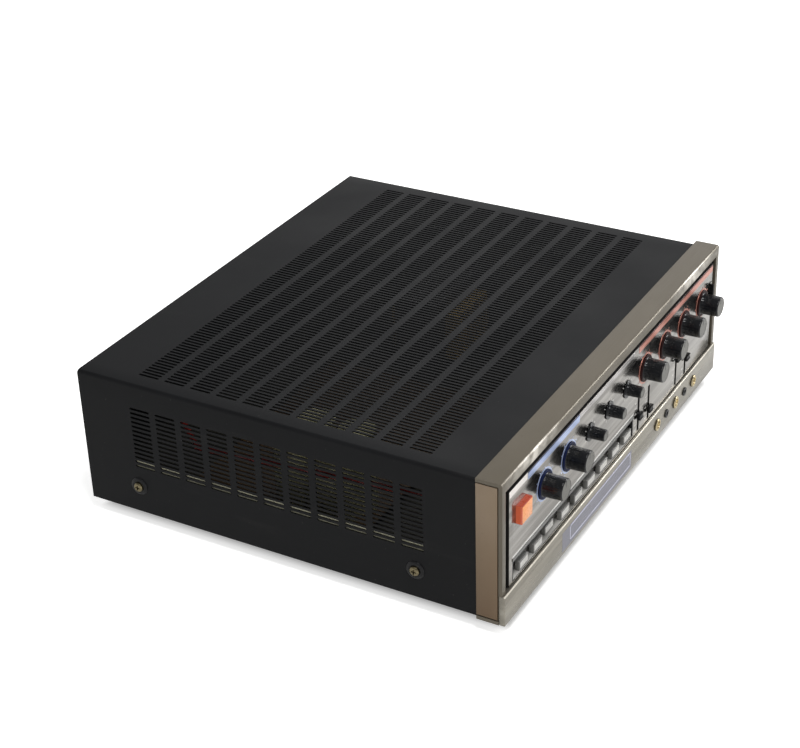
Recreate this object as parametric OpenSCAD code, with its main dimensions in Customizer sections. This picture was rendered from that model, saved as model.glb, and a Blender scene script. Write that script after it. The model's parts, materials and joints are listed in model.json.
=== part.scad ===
// Karaoke amplifier: a wide low case with a slotted cover, a champagne front frame,
// rotary, sliding and push controls, and the boards and transformer that it holds.
// Millimetres. X runs along the front, Y runs from the front to the rear, Z is up.
// The origin lies on the floor, in the middle of the whole object.

/* [Case] */
// Width of the folded cover
body_w = 420; // [418:1:480]
// Height of the folded cover
body_h = 117; // [113:1:160]
// Depth from the face of the front frame to the rear edge of the cover
body_d = 368; // [350:1:430]
// Thickness of the cover sheet
sheet_t = 1; // [0.8:0.1:1.6]
// Outer radius of the cover's two folds
fold_r = 3; // [2:0.5:8]
// Thickness of the chassis, the inner front plate and the rear panel
plate_t = 1.5; // [1:0.1:2]
// Height of the chassis side flanges
flange_h = 47; // [40:1:60]
// Height of the chassis lip that the rear panel is screwed to
lip_h = 16; // [14:1:24]
// Height of the feet
foot_h = 12; // [8:1:20]
// Radius of a foot
foot_r = 14; // [10:1:18]
// Distance from the sides and ends of the case to the feet
foot_inset = 42; // [34:1:60]

/* [Cover vents] */
// Rows of slots, one behind the other
vent_rows = 11; // [4:1:11]
// Pitch of the rows
vent_row_pitch = 23.8; // [21:0.1:24]
// Length of a slot
vent_len = 18.6; // [10:0.1:19.5]
// Distance from the cover's rear edge to the first row
vent_rear = 47.7; // [30:0.1:56]
// Pitch of the slots in a row
vent_pitch = 12.1; // [9:0.1:16]
// Width of a slot
vent_w = 6.4; // [2:0.1:7.5]
// Plain margin at each side of the top
vent_margin = 16; // [10:1:40]
// Distance from the top of the cover down to the first side slot
side_vent_top = 21; // [14:1:26]
// Slots in each column of the sides
side_vents = 5; // [2:1:5]

/* [Front frame] */
// Depth of the front frame
frame_d = 21; // [18:0.5:26]
// Thickness of the frame's front lip
lip_t = 3; // [2.5:0.1:5]
// How far the frame stands out past the cover's sides
frame_over_x = 1.2; // [0.8:0.1:2.5]
// How far the frame stands out above and below the cover
frame_over_z = 2; // [1.5:0.1:4]
// Width of the frame's uprights, seen from the front
upright_w = 5.2; // [5:0.1:8]
// Height of the frame's top lip, seen from the front
top_lip_h = 8.7; // [6:0.1:10]
// Radius of the frame's upper front edge
edge_r = 2; // [0.5:0.1:2.5]
// Thickness of the frame's walls behind the lip
frame_wall = 2.2; // [2:0.1:3]
// Thickness of the two cheek plates let into the frame's ends
cheek_t = 1.2; // [0.6:0.1:1.4]
// Open groove above, below and in front of a cheek plate
cheek_groove = 1; // [0.3:0.1:1.2]
// Height of the frame's strip under a cheek plate
cheek_foot = 3; // [2.5:0.1:6]
// Height of the frame's strip above a cheek plate
cheek_head = 3; // [2.5:0.1:6]
// Height of the lower bar
bar_h = 26; // [24:0.5:26]
// How far the lower bar stands out in front of the frame
bar_reach = 2; // [1:0.1:4]

/* [Control panel] */
// How far the control panel lies behind the frame's face
panel_recess = 0.5; // [0.2:0.1:1]
// Open groove at each end of the panel
panel_gap_x = 6.5; // [3:0.1:7]
// Open groove above the panel
panel_gap_top = 4.5; // [2:0.1:6]
// Open groove between the panel and the lower bar
panel_gap_low = 1; // [0.5:0.1:1.2]
// Height of the row of knobs above the chassis
knob_z = 79; // [78:0.5:84]
// First large knob, from the left side of the cover
mic_knob_x = 69; // [60:0.5:70]
// Pitch of the large knobs
big_pitch = 42; // [40:0.5:42]
// First small knob, from the left side of the cover
echo_knob_x = 150; // [140:0.5:156]
// Pitch of the small knobs
small_pitch = 36; // [30:0.5:38]
// First of the four large knobs at the right, from the left side of the cover
music_knob_x = 260; // [256:0.5:260]
// Radius of a large knob's skirt
skirt_r = 11.6; // [10:0.1:12.5]
// Thickness of a large knob's skirt
skirt_t = 1; // [0.6:0.1:3]
// Radius of a large knob's grip
big_grip_r = 9; // [7:0.1:10]
// Length of a large knob
big_knob_len = 17; // [12:0.5:24]
// Radius of a small knob's flange
flange_r = 7.5; // [6.5:0.1:9]
// Radius of a small knob's grip
small_grip_r = 5; // [4:0.1:6]
// Length of a small knob
small_knob_len = 13; // [10:0.5:22]
// Radius of a control's shaft
shaft_r = 3; // [2:0.1:3.2]
// Radius of a large rotary control's can
big_can_r = 11; // [8:0.1:11.5]
// Radius of a small rotary control's can
small_can_r = 8; // [6:0.1:10]
// Space between the inner front plate and the control board
board_gap = 11; // [10.5:0.1:14]

/* [Buttons and sliders] */
// Power button, from the left side of the cover
power_x = 30; // [25:0.5:32]
// Height of the power button's middle above the chassis
power_z = 81; // [79:0.5:87]
// Width of the power button
power_w = 17; // [14:0.5:21.5]
// Height of the power button
power_h = 15; // [12:0.5:20]
// How far the power button stands out of the panel
power_reach = 5; // [3.2:0.1:8]
// Travel of the power button
power_travel = 3; // [1:0.1:3]
// First push button, from the left side of the cover
push_x = 36; // [34:0.5:40]
// Pitch of the push buttons
push_pitch = 24; // [20:0.1:24]
// Width of a push button
push_w = 15; // [8:0.5:18]
// Height of a push button
push_h = 7.4; // [5:0.1:9]
// Travel of a push button
push_travel = 2.5; // [1:0.1:3]
// Clear room to the left of the push buttons in their channel
channel_room = 12.5; // [4:0.5:13]
// Clear height above the push buttons in their channel
channel_above = 7.2; // [2:0.1:8]
// Depth of the channel
channel_d = 7; // [6.5:0.1:9]
// First slider, from the left side of the cover
slider_x = 248.5; // [247:0.5:253]
// Distance between the two sliders of a pair
slider_pitch = 21.5; // [14:0.5:24]
// Distance from the first pair of sliders to the second
pair_pitch = 82; // [60:0.5:84]
// Height of the middle of the slider slots above the chassis
slider_z = 42; // [41:0.5:47]
// Travel of a slider
slider_travel = 25.5; // [16:0.5:28]
// Width of a slider's cap
slider_cap_w = 8; // [6:0.5:12]
// Height of a slider's cap
slider_cap_h = 5; // [4:0.5:9]
// How far a slider's cap stands out
slider_cap_d = 3.2; // [2.5:0.1:10]
// Tone switch, from the right side of the cover
tone_x = 13.5; // [13.5:0.1:16]
// Height of the tone switch's middle above the chassis
tone_z = 83; // [76:0.5:88]

/* [Sockets] */
// First microphone socket, from the left side of the cover
mic_x = 286; // [250:0.5:300]
// Pitch of the microphone sockets
mic_pitch = 41; // [34:0.5:44]
// Height of the sockets above the chassis
mic_z = 12; // [11.5:0.1:13]
// Radius of a microphone socket's bore
mic_bore_r = 3.25; // [3.1:0.05:3.6]
// Radius of a microphone socket's barrel
mic_barrel_r = 4.2; // [4:0.1:5]
// Radius of a microphone socket's nut
mic_nut_r = 5.3; // [5.2:0.1:7.5]
// Radius of a small socket's bore
mini_bore_r = 1.8; // [1.3:0.1:2.2]
// Radius of a small socket's barrel
mini_barrel_r = 3; // [2.6:0.1:3.6]
// First line socket on the rear, from the left side of the cover
line_x = 230; // [150:1:240]
// Pitch of the line sockets
line_pitch = 22; // [16:1:26]
// Height of the lower line sockets above the chassis
line_z = 44; // [38:1:50]
// Length of a line socket outside the rear panel
line_len = 10; // [9:0.5:14]
// Speaker terminal block, from the left side of the cover
speaker_x = 300; // [290:1:310]
// Pitch of the speaker terminals
speaker_pitch = 18; // [14:0.5:20]
// Bore of the bush for the mains cord
bush_bore_r = 4; // [3:0.1:5]

/* [Inside] */
// Length of the heat sink
sink_w = 250; // [80:1:280]
// Height of the heat sink
sink_h = 98; // [50:1:110]
// Depth of the heat sink's fins
fin_d = 22; // [10:1:30]
// Pitch of the heat sink's fins
fin_pitch = 10; // [6:0.5:16]
// Width of the main board
board_w = 250; // [200:1:256]
// Depth of the main board
board_d = 160; // [130:1:170]
// Thickness of the boards
board_t = 1.6; // [1:0.1:2.4]
// Height of the posts under the main board
post_h = 8; // [5:0.5:14]
// Unit of the transformer's laminations, a sixth of their length
core_u = 15; // [10:0.5:16]
// Thickness of the transformer's stack
core_d = 42; // [20:1:50]
// Radius of a filter capacitor
cap_r = 15; // [8:0.5:17]
// Height of a filter capacitor
cap_h = 70; // [20:1:90]

/* [Fits] */
// Clearance around a piece that is set into another
fit = 0.3; // [0.2:0.05:0.4]
// Clearance around a turning shaft
run_fit = 0.05; // [0.03:0.01:0.1]
// Gap between the panel and the back of a knob or a slider's cap
face_gap = 0.4; // [0.3:0.05:0.8]

/* [Hidden] */
$fn = 48;
eps = 0.01;

// Overall depth, from the tips of the large knobs to the tips of the line sockets
rear_inset = 0.5;
knob_reach = max(big_knob_len, small_knob_len) + face_gap - panel_recess;
rear_reach = line_len - rear_inset;
total_d = knob_reach + body_d + rear_reach;
half_w = body_w / 2;
front_y = knob_reach - total_d / 2;

// Places measured from the cover's left side, the frame's face and the chassis
function left(x) = x - half_w;
function back(y) = front_y + y;
function up(z) = foot_h + z;

// Places on the front and the rear, whose layout is fitted to the case's width
layout_end = 34;
layout_w = music_knob_x + 3 * big_pitch + layout_end;
function across(x) = (x / layout_w - 0.5) * body_w;

// Places on the panel, which keep their distance from the case's top
layout_h = 117;
function below_top(z) = up(z + body_h - layout_h);

rear_y = back(body_d);
top_z = up(body_h);
frame_half_w = half_w + frame_over_x;
frame_low_z = foot_h - frame_over_z;
frame_top_z = top_z + frame_over_z;
bar_top_z = frame_low_z + bar_h;

// Layers behind the frame's face
panel_front = back(panel_recess);
plate_front = back(lip_t);
plate_back = plate_front + plate_t;
board_front = plate_back + board_gap;

// Control panel
panel_half_w = frame_half_w - upright_w - panel_gap_x;
panel_low_z = bar_top_z + panel_gap_low;
panel_top_z = frame_top_z - top_lip_h - panel_gap_top;

// Chassis
tray_half_w = half_w - sheet_t - fit;
tray_top = foot_h + plate_t;
rear_face = rear_y - rear_inset;
rear_inner = rear_face - plate_t;

// Rows of controls
big_knobs_left = [for (i = [0:1]) across(mic_knob_x + i * big_pitch)];
small_knobs = [for (i = [0:2]) across(echo_knob_x + i * small_pitch)];
big_knobs_right = [for (i = [0:3]) across(music_knob_x + i * big_pitch)];
big_knobs = concat(big_knobs_left, big_knobs_right);
push_xs = [for (i = [0:8]) across(push_x + i * push_pitch)];
slider_xs = [for (p = [0:1], i = [0:1]) across(slider_x + p * pair_pitch + i * slider_pitch)];
tone_mid_x = half_w - tone_x;
tone_mid_z = below_top(tone_z);
row_z = up(knob_z);

// Channel of the push buttons
channel_wall = 1;
channel_rim = 1;
channel_room_right = 2.5;
channel_x0 = push_xs[0] - push_w / 2 - channel_room;
channel_x1 = push_xs[8] + push_w / 2 + channel_room_right;
channel_z0 = panel_low_z + channel_rim;
push_under = 0.5;
push_z = channel_z0 + fit + channel_wall + push_under + push_h / 2;
channel_z1 = push_z + push_h / 2 + channel_above + channel_wall;
channel_back = panel_front + channel_d + channel_wall;
push_behind = 0.8;
push_cap_d = channel_d - push_travel - push_behind;
push_front = panel_front + fit;
stem_w = 4;
stem_end = channel_back + 3;
stem_room = 0.6;
push_set_in = 2.3;
push_switch_w = 14;
push_switch_h = 10;
ridge_rise = 0.4;
ridge_h = 2.4;
ridge_t = 0.6;

// Sliders
slot_w = 4;
lever_w = 1.6;
lever_h = 4;
slot_room = 2;
slot_h = slider_travel + lever_h + slot_room;
slider_rest = [-1.3, -5.6, 11.1, 1.5];
slide_case_w = 10;
slide_case_end = 5;
groove_w = 1.2;
groove_d = 0.8;

// Tone switch
tone_plate_w = 4.4;
tone_plate_h = 13.6;
tone_plate_t = 0.3;
tone_neck_w = 4.4;
tone_neck_h = 12.6;
tone_neck_fit = 0.2;
tone_case_w = 8.8;
tone_case_h = 18;
tone_slot_w = 2.8;
tone_slot_h = 11;
tone_slot_d = 6;
tone_lever_w = 2.2;
tone_lever_h = 5;
tone_lever_room = 0.5;
tone_cap_h = 10;
tone_cap_d = 2.4;

// Rotary controls
bush_wall = 1.5;
bush_r = shaft_r + bush_wall;
bush_room = 1.2;
bush_set_in = 0.6;
can_end = 2;
shaft_room = 0.5;
cap_front = panel_front - face_gap;
flange_t = 0.6;
knob_crown = 4;
knob_taper = 0.3;
knob_edge = 0.8;
seat_fit = 0.02;
mark_w = 1.2;
mark_d = 0.6;

// Power button
power_mid_x = across(power_x);
power_mid_z = below_top(power_z);
power_set_in = 3;
power_cap_d = lip_t + plate_t + power_reach + power_set_in;
power_front = panel_front - power_reach;
power_back = power_front + power_cap_d;
power_stem_w = 6;
power_stem_d = 10;
switch_wall = 3;
switch_d = 36;
switch_room = 0.5;

// Microphone sockets
mic_xs = [for (i = [0:2]) across(mic_x + i * mic_pitch)];
mini_xs = [for (i = [0:1]) across(mic_x + (i + 0.5) * mic_pitch)];
socket_z = up(mic_z);
bar_front = back(-bar_reach);
mic_nut_t = 1.4;
mic_body_w = 16;
mic_body_d = 26;
mini_body_w = 10;
mini_body_d = 14;
mini_flange_t = 1;
mini_flange_w = 0.8;
socket_floor = 2;
socket_lip = 0.2;
nut_fit = 0.1;

// Screws
screw_r = 1.5;
screw_head_r = 3;
screw_head_t = 2.2;
screw_len = 10;
side_screw_r = 1.9;
side_screw_rear = 49;
side_screw_pitch = 248;
side_screw_ys = [rear_y - side_screw_rear - side_screw_pitch, rear_y - side_screw_rear];
side_screw_up = 24;
side_screw_z = up(side_screw_up);
side_screw_in = 8;
side_head_r = 4;
side_head_t = 2.5;
washer_t = 1.5;
washer_r = 7.5;
washer_rim = 0.4;
washer_seat_r = 4.6;
foot_xs = [-half_w + foot_inset, half_w - foot_inset];
foot_ys = [back(foot_inset), rear_y - foot_inset];
foot_bore_d = 5;
foot_chamfer = 1;
foot_taper = 1.5;
rear_screw_inset = 14;
rear_screw_xs = [-half_w + rear_screw_inset, -half_w / 3, half_w / 3, half_w - rear_screw_inset];
rear_screw_up = 10;
rear_screw_z = up(rear_screw_up);

// Rear panel
line_xs = [for (i = [0:1]) across(line_x) + i * line_pitch];
line_zs = [for (i = [0:1]) up(line_z + i * line_pitch)];
line_barrel_r = 4.15;
line_bore_r = 1.65;
line_bore_d = 9;
line_flange_r = 6;
line_flange_t = 2;
line_tail = 6;
speaker_x0 = across(speaker_x);
speaker_xs = [for (i = [0:3]) speaker_x0 + (i + 0.5) * speaker_pitch];
speaker_w = 4 * speaker_pitch;
speaker_up = 55;
speaker_z = up(speaker_up);
speaker_h = 22;
speaker_d = 5;
speaker_wall = 2;
speaker_wall_d = 3;
speaker_head_r = 3.6;
speaker_head_t = 2;
speaker_screw_in = 3.5;
bush_left = 30;
bush_x = left(bush_left);
bush_up = 30;
bush_z = up(bush_up);
bush_flange_w = 5;
bush_flange_r = bush_bore_r + bush_flange_w;
bush_neck_w = 2.8;
bush_neck_r = bush_bore_r + bush_neck_w;
bush_out = 3;
bush_in = 3;
fuse_left = 48;
fuse_x = left(fuse_left);
fuse_up = 66;
fuse_z = up(fuse_up);
fuse_r = 6;
fuse_in = 30;
fuse_collar = 2;
fuse_cap_d = 8;
fuse_cap_step = 0.5;

// Inside
sink_side = 10;
sink_base_t = 6;
sink_x0 = half_w - sink_side - fin_d - sink_base_t;
sink_front = 50;
sink_y0 = back(sink_front);
fin_t = 2;
transistor_w = 16;
transistor_h = 21;
transistor_t = 5;
transistor_up = 24;
board_left = 14;
board_x0 = left(board_left);
board_x1 = board_x0 + board_w * body_w / layout_w;
board_back = 138;
board_y0 = back(board_back);
board_y1 = board_y0 + board_d;
board_z0 = tray_top + post_h;
post_inset = 17;
post_r = 3.5;
post_xs = [board_x0 + post_inset, board_x1 - post_inset];
post_ys = [board_y0 + post_inset, board_y1 - post_inset];
cap_inset = 22;
cap_gap = 6;
core_w = 6 * core_u;
core_h = 5 * core_u;
core_clear = 3;
core_x = sink_x0 - transistor_t - core_clear - core_w / 2;
core_back = 225;
core_y = back(core_back);
wire_r = 2.4;
wire_left = 14;
wire_x = left(wire_left);
wire_front = 62;
wire_run_y = back(wire_front);
wire_tail = 28;
wire_rear_y = rear_face - fuse_in - wire_tail;
wire_bend = 10;
wire_slope = 40;
board_clear = 2;
board_margin = 9;
board_end = 8;
switch_clear = 4;

// Chassis tray
flange_front = 8;
tray_slots = 9;
tray_slot_pitch = 22;
tray_slot_w = 6;
tray_slot_back = 250;
tray_slot_len = 60;

cover_black = "#2a2b2c";
champagne = "#9a8f7e";
panel_grey = "#b5b0a6";
plastic_black = "#1a1a1c";
button_grey = "#b9b8b2";
steel = "#b8bcc0";
brass = "#c9a44c";
board_brown = "#6b4a2c";

// Box between two corners
module block(x0, x1, y0, y1, z0, z1) {
    translate([x0, y0, z0]) cube([x1 - x0, y1 - y0, z1 - z0]);
}

// Upright box around the middle x, z, from y0 to y1
module upright(x, z, w, h, y0, y1) {
    block(x - w / 2, x + w / 2, y0, y1, z - h / 2, z + h / 2);
}

// Round bar along Y, from y0 to y1
module rod_y(x, z, r, y0, y1) {
    translate([x, y0, z]) rotate([-90, 0, 0]) cylinder(r = r, h = y1 - y0);
}

// Round bar along X, from x0 to x1
module rod_x(y, z, r, x0, x1) {
    translate([x0, y, z]) rotate([0, 90, 0]) cylinder(r = r, h = x1 - x0);
}

// Flat outline in X and Z, given depth from y0 to y1
module sheet(y0, y1) {
    translate([0, y1, 0]) rotate([90, 0, 0]) linear_extrude(y1 - y0) children();
}

// Outline in Y and Z, drawn out along X
module bar_x(x0, x1) {
    translate([x0, 0, 0]) rotate([90, 0, 90]) linear_extrude(x1 - x0) children();
}

module area(x0, x1, z0, z1) {
    translate([x0, z0]) square([x1 - x0, z1 - z0]);
}

module hole(x, z, r) {
    translate([x, z]) circle(r = r);
}

module slot_hole(x, z, w, h) {
    translate([x - w / 2, z - h / 2]) square([w, h]);
}

// Section of the folded cover: a flat top with a round fold at each side
module cover_section(w, r, z1) {
    area(-w + r, w - r, foot_h, z1);
    area(-w, w, foot_h, z1 - r);
    hole(-w + r, z1 - r, r);
    hole(w - r, z1 - r, r);
}

module vent_slots() {
    columns = floor((body_w - 2 * vent_margin) / vent_pitch);
    span = (columns - 1) * vent_pitch;
    first_y = rear_y - vent_rear - vent_len;
    first_z = top_z - side_vent_top - vent_w;
    for (row = [0:vent_rows - 1]) {
        y0 = first_y - row * vent_row_pitch;
        for (i = [0:columns - 1]) {
            x = i * vent_pitch - span / 2;
            block(x - vent_w / 2, x + vent_w / 2, y0, y0 + vent_len, top_z - 2 * sheet_t, top_z + 1);
        }
        for (s = [-1, 1], k = [0:side_vents - 1]) {
            x0 = s * half_w - 2 * sheet_t;
            z0 = first_z - k * vent_pitch;
            block(x0, x0 + 4 * sheet_t, y0, y0 + vent_len, z0, z0 + vent_w);
        }
    }
}

module side_screw_holes(r) {
    for (y = side_screw_ys) rod_x(y, side_screw_z, r, -half_w - 1, half_w + 1);
}

module top_cover() {
    color(cover_black) difference() {
        sheet(back(frame_d), rear_y) difference() {
            cover_section(half_w, fold_r, top_z);
            translate([0, -1]) cover_section(half_w - sheet_t, fold_r - sheet_t, top_z - sheet_t + 1);
            area(-half_w + sheet_t, half_w - sheet_t, foot_h - 1, foot_h + 1);
        }
        vent_slots();
        side_screw_holes(side_screw_r + fit);
    }
}

module bottom_chassis() {
    flange_y0 = plate_back + flange_front;
    lip_y0 = rear_inner - plate_t;
    color(steel) difference() {
        union() {
            block(-tray_half_w, tray_half_w, plate_back, rear_inner, foot_h, tray_top);
            for (s = [-1, 1]) {
                x0 = s * (tray_half_w - plate_t / 2) - plate_t / 2;
                block(x0, x0 + plate_t, flange_y0, rear_inner, foot_h, up(flange_h));
            }
            block(-tray_half_w, tray_half_w, lip_y0, rear_inner, foot_h, up(lip_h));
        }
        side_screw_holes(side_screw_r + fit);
        for (x = foot_xs, y = foot_ys) {
            translate([x, y, foot_h - 1]) cylinder(r = screw_r + fit, h = plate_t + 2);
        }
        for (x = rear_screw_xs) rod_y(x, rear_screw_z, screw_r + fit, lip_y0 - 1, rear_inner + 1);
        for (i = [0:tray_slots - 1]) {
            x0 = (i - (tray_slots - 1) / 2) * tray_slot_pitch - tray_slot_w / 2;
            block(x0, x0 + tray_slot_w, back(tray_slot_back), back(tray_slot_back + tray_slot_len),
                foot_h - 1, tray_top + 1);
        }
    }
}

module rear_panel() {
    top = top_z - sheet_t - fit;
    color(steel) sheet(rear_inner, rear_face) difference() {
        area(-tray_half_w, tray_half_w, foot_h, top);
        for (x = line_xs, z = line_zs) hole(x, z, line_barrel_r + fit);
        for (x = rear_screw_xs) hole(x, rear_screw_z, screw_r + fit);
        hole(bush_x, bush_z, bush_neck_r + fit);
        hole(fuse_x, fuse_z, fuse_r + fit);
    }
}

// Openings that the control panel and the inner front plate share
module control_openings() {
    slot_hole(power_mid_x, power_mid_z, power_w + 2 * fit, power_h + 2 * fit);
    area(channel_x0, channel_x1, channel_z0, channel_z1);
    for (x = slider_xs) slot_hole(x, up(slider_z), slot_w, slot_h);
}

module inner_front_plate() {
    w = frame_half_w - frame_wall - fit;
    color(plastic_black) sheet(plate_front, plate_back) difference() {
        area(-w, w, foot_h, frame_top_z - frame_wall - fit);
        control_openings();
        for (x = concat(big_knobs, small_knobs)) hole(x, row_z, bush_r + fit);
        slot_hole(tone_mid_x, tone_mid_z, tone_neck_w + 2 * tone_neck_fit, tone_neck_h + 2 * tone_neck_fit);
        for (x = mic_xs) hole(x, socket_z, mic_barrel_r + fit);
        for (x = mini_xs) hole(x, socket_z, mini_barrel_r + fit);
    }
}

// Section of the front frame: a block with its upper front edge rounded
module frame_section() {
    y0 = back(0);
    area(y0, back(frame_d), frame_low_z, frame_top_z - edge_r);
    area(y0 + edge_r, back(frame_d), frame_low_z, frame_top_z);
    hole(y0 + edge_r, frame_top_z - edge_r, edge_r);
}

module front_frame() {
    in_w = frame_half_w - frame_wall;
    mouth_w = frame_half_w - upright_w;
    color(champagne) difference() {
        bar_x(-frame_half_w, frame_half_w) frame_section();
        block(-mouth_w, mouth_w, back(-1), back(frame_d + 1), frame_low_z - 1, frame_top_z - top_lip_h);
        block(-in_w, in_w, plate_front, back(frame_d + 1), foot_h, frame_top_z - frame_wall);
        block(-frame_half_w - 1, frame_half_w + 1, back(-1), plate_front, frame_low_z - 1, bar_top_z);
        for (s = [-1, 1]) {
            x0 = s * frame_half_w - cheek_t;
            block(x0, x0 + 2 * cheek_t, plate_front, back(frame_d + 1), frame_low_z + cheek_foot,
                frame_top_z - cheek_head);
        }
    }
}

module cheek_plates() {
    y0 = plate_front + cheek_groove;
    for (s = [-1, 1]) {
        x0 = s * (frame_half_w - cheek_t / 2) - cheek_t / 2;
        color(champagne) block(x0, x0 + cheek_t, y0, back(frame_d), frame_low_z + cheek_foot + cheek_groove,
            frame_top_z - cheek_head - cheek_groove);
    }
}

module lower_bar() {
    color(champagne) sheet(bar_front, plate_front) difference() {
        area(-frame_half_w, frame_half_w, frame_low_z, bar_top_z);
        for (x = mic_xs) hole(x, socket_z, mic_barrel_r + fit);
        for (x = mini_xs) hole(x, socket_z, mini_barrel_r + fit);
    }
}

module control_panel() {
    ridge_z = channel_z1 + ridge_rise;
    color(panel_grey) union() {
        sheet(panel_front, plate_front) difference() {
            area(-panel_half_w, panel_half_w, panel_low_z, panel_top_z);
            control_openings();
            for (x = concat(big_knobs, small_knobs)) hole(x, row_z, bush_r + bush_room);
            slot_hole(tone_mid_x, tone_mid_z, tone_plate_w + 2 * fit, tone_plate_h + 2 * fit);
        }
        block(channel_x0, channel_x1, panel_front - ridge_t, panel_front + eps,
            ridge_z, ridge_z + ridge_h);
    }
}

module button_channel() {
    x0 = channel_x0 + fit;
    x1 = channel_x1 - fit;
    z0 = channel_z0 + fit;
    z1 = channel_z1 - fit;
    w = channel_wall;
    color(plastic_black) difference() {
        block(x0, x1, panel_front, channel_back, z0, z1);
        block(x0 + w, x1 - w, panel_front - 1, channel_back - w, z0 + w, z1 - w);
        for (x = push_xs) {
            block(x - stem_w / 2 - fit, x + stem_w / 2 + fit, channel_back - w - 1, channel_back + 1,
                push_z - stem_w / 2 - fit, push_z + stem_w / 2 + fit);
        }
    }
}

module power_button() {
    x = power_mid_x;
    z = power_mid_z;
    color("#f07a3c") union() {
        block(x - power_w / 2, x + power_w / 2, power_front, power_back, z - power_h / 2, z + power_h / 2);
        block(x - power_stem_w / 2, x + power_stem_w / 2, power_back - 1, power_back + power_stem_d,
            z - power_stem_w / 2, z + power_stem_w / 2);
    }
}

module power_switch() {
    x = power_mid_x;
    z = power_mid_z;
    in_w = power_w / 2 + fit;
    in_h = power_h / 2 + fit;
    stem = power_stem_w / 2 + fit;
    seat = power_back + power_travel + switch_room;
    color(plastic_black) difference() {
        block(x - in_w - switch_wall, x + in_w + switch_wall, plate_back, plate_back + switch_d,
            z - in_h - switch_wall, z + in_h + switch_wall);
        block(x - in_w, x + in_w, plate_back - 1, seat, z - in_h, z + in_h);
        block(x - stem, x + stem, seat - 1, seat + power_stem_d + switch_room, z - stem, z + stem);
    }
}

// Turned knob with a blind seat for its shaft, built from its back face up
module knob_form(base_r, base_t, grip_r, len) {
    seat_d = len - knob_crown;
    seat_r = shaft_r + seat_fit;
    edge = base_t / 3;
    tip_r = grip_r - knob_taper;
    difference() {
        rotate_extrude() polygon([
            [seat_r, 0], [base_r - edge, 0], [base_r, edge], [base_r, base_t - edge],
            [base_r - edge, base_t], [grip_r, base_t], [tip_r, len - knob_edge],
            [tip_r - knob_edge, len], [0, len], [0, seat_d], [seat_r, seat_d]
        ]);
        translate([-mark_w / 2, grip_r / 4, len - mark_d]) cube([mark_w, grip_r, mark_d + 1]);
    }
}

// Knob on its steel shaft, with the shaft running back into the rotary control
module knob(x, base_r, base_t, grip_r, len) {
    shaft_front = cap_front - (len - knob_crown);
    color(plastic_black) translate([x, cap_front, row_z]) rotate([90, 0, 0]) {
        knob_form(base_r, base_t, grip_r, len);
    }
    color(steel) rod_y(x, row_z, shaft_r, shaft_front, board_front - can_end - shaft_room);
}

module big_knob(x) {
    knob(x, skirt_r, skirt_t, big_grip_r, big_knob_len);
}

module small_knob(x) {
    knob(x, flange_r, flange_t, small_grip_r, small_knob_len);
}

module rotary_control(x, can_r) {
    difference() {
        union() {
            rod_y(x, row_z, bush_r, panel_front + bush_set_in, plate_back + 1);
            rod_y(x, row_z, can_r, plate_back, board_front);
        }
        rod_y(x, row_z, shaft_r + run_fit, panel_front - 1, board_front - can_end);
    }
}

module rotary_controls() {
    color(steel) {
        for (x = big_knobs) rotary_control(x, big_can_r);
        for (x = small_knobs) rotary_control(x, small_can_r);
    }
}

// Push button: a cap in the channel and a square stem through its back wall
module push_button(i, set_in) {
    x = push_xs[i];
    y0 = push_front + set_in;
    stem = stem_w / 2;
    color(button_grey) union() {
        block(x - push_w / 2, x + push_w / 2, y0, y0 + push_cap_d, push_z - push_h / 2, push_z + push_h / 2);
        block(x - stem, x + stem, y0 + push_cap_d - 1, stem_end + set_in, push_z - stem, push_z + stem);
    }
}

module push_switches() {
    stem = stem_w / 2 + fit;
    w = push_switch_w / 2;
    h = push_switch_h / 2;
    color(plastic_black) for (x = push_xs) difference() {
        block(x - w, x + w, channel_back, board_front, push_z - h, push_z + h);
        block(x - stem, x + stem, channel_back - 1, stem_end + push_travel + stem_room,
            push_z - stem, push_z + stem);
    }
}

// Slider: a cap in front of the panel on a flat lever that passes through the slot
module slider(i) {
    x = slider_xs[i];
    z = up(slider_z) + slider_rest[i];
    w = slider_cap_w / 2;
    h = slider_cap_h / 2;
    color(plastic_black) difference() {
        block(x - w, x + w, cap_front - slider_cap_d, cap_front, z - h, z + h);
        block(x - w - 1, x + w + 1, cap_front - slider_cap_d - 1, cap_front - slider_cap_d + groove_d,
            z - groove_w / 2, z + groove_w / 2);
    }
    color(steel) block(x - lever_w / 2, x + lever_w / 2, cap_front, board_front - can_end - shaft_room,
        z - lever_h / 2, z + lever_h / 2);
}

module slide_controls() {
    w = slide_case_w / 2;
    h = slot_h / 2 + slide_case_end;
    z = up(slider_z);
    color(steel) for (x = slider_xs) difference() {
        block(x - w, x + w, plate_back, board_front, z - h, z + h);
        block(x - slot_w / 2, x + slot_w / 2, plate_back - 1, board_front - can_end, z - slot_h / 2,
            z + slot_h / 2);
    }
}

// Tone switch: a plate on the panel, a neck through the inner plate and a case behind it
module tone_switch() {
    x = tone_mid_x;
    z = tone_mid_z;
    color(plastic_black) difference() {
        union() {
            upright(x, z, tone_plate_w, tone_plate_h, panel_front - tone_plate_t, plate_front);
            upright(x, z, tone_neck_w, tone_neck_h, plate_front - eps, plate_back + eps);
            upright(x, z, tone_case_w, tone_case_h, plate_back, board_front);
        }
        upright(x, z, tone_slot_w, tone_slot_h, panel_front - 1, plate_back + tone_slot_d);
    }
}

module tone_lever() {
    cap_back = panel_front - tone_plate_t - fit;
    color(plastic_black) union() {
        upright(tone_mid_x, tone_mid_z, tone_lever_w, tone_cap_h, cap_back - tone_cap_d, cap_back);
        upright(tone_mid_x, tone_mid_z, tone_lever_w, tone_lever_h, cap_back - eps,
            plate_back + tone_slot_d - tone_lever_room);
    }
}

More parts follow.
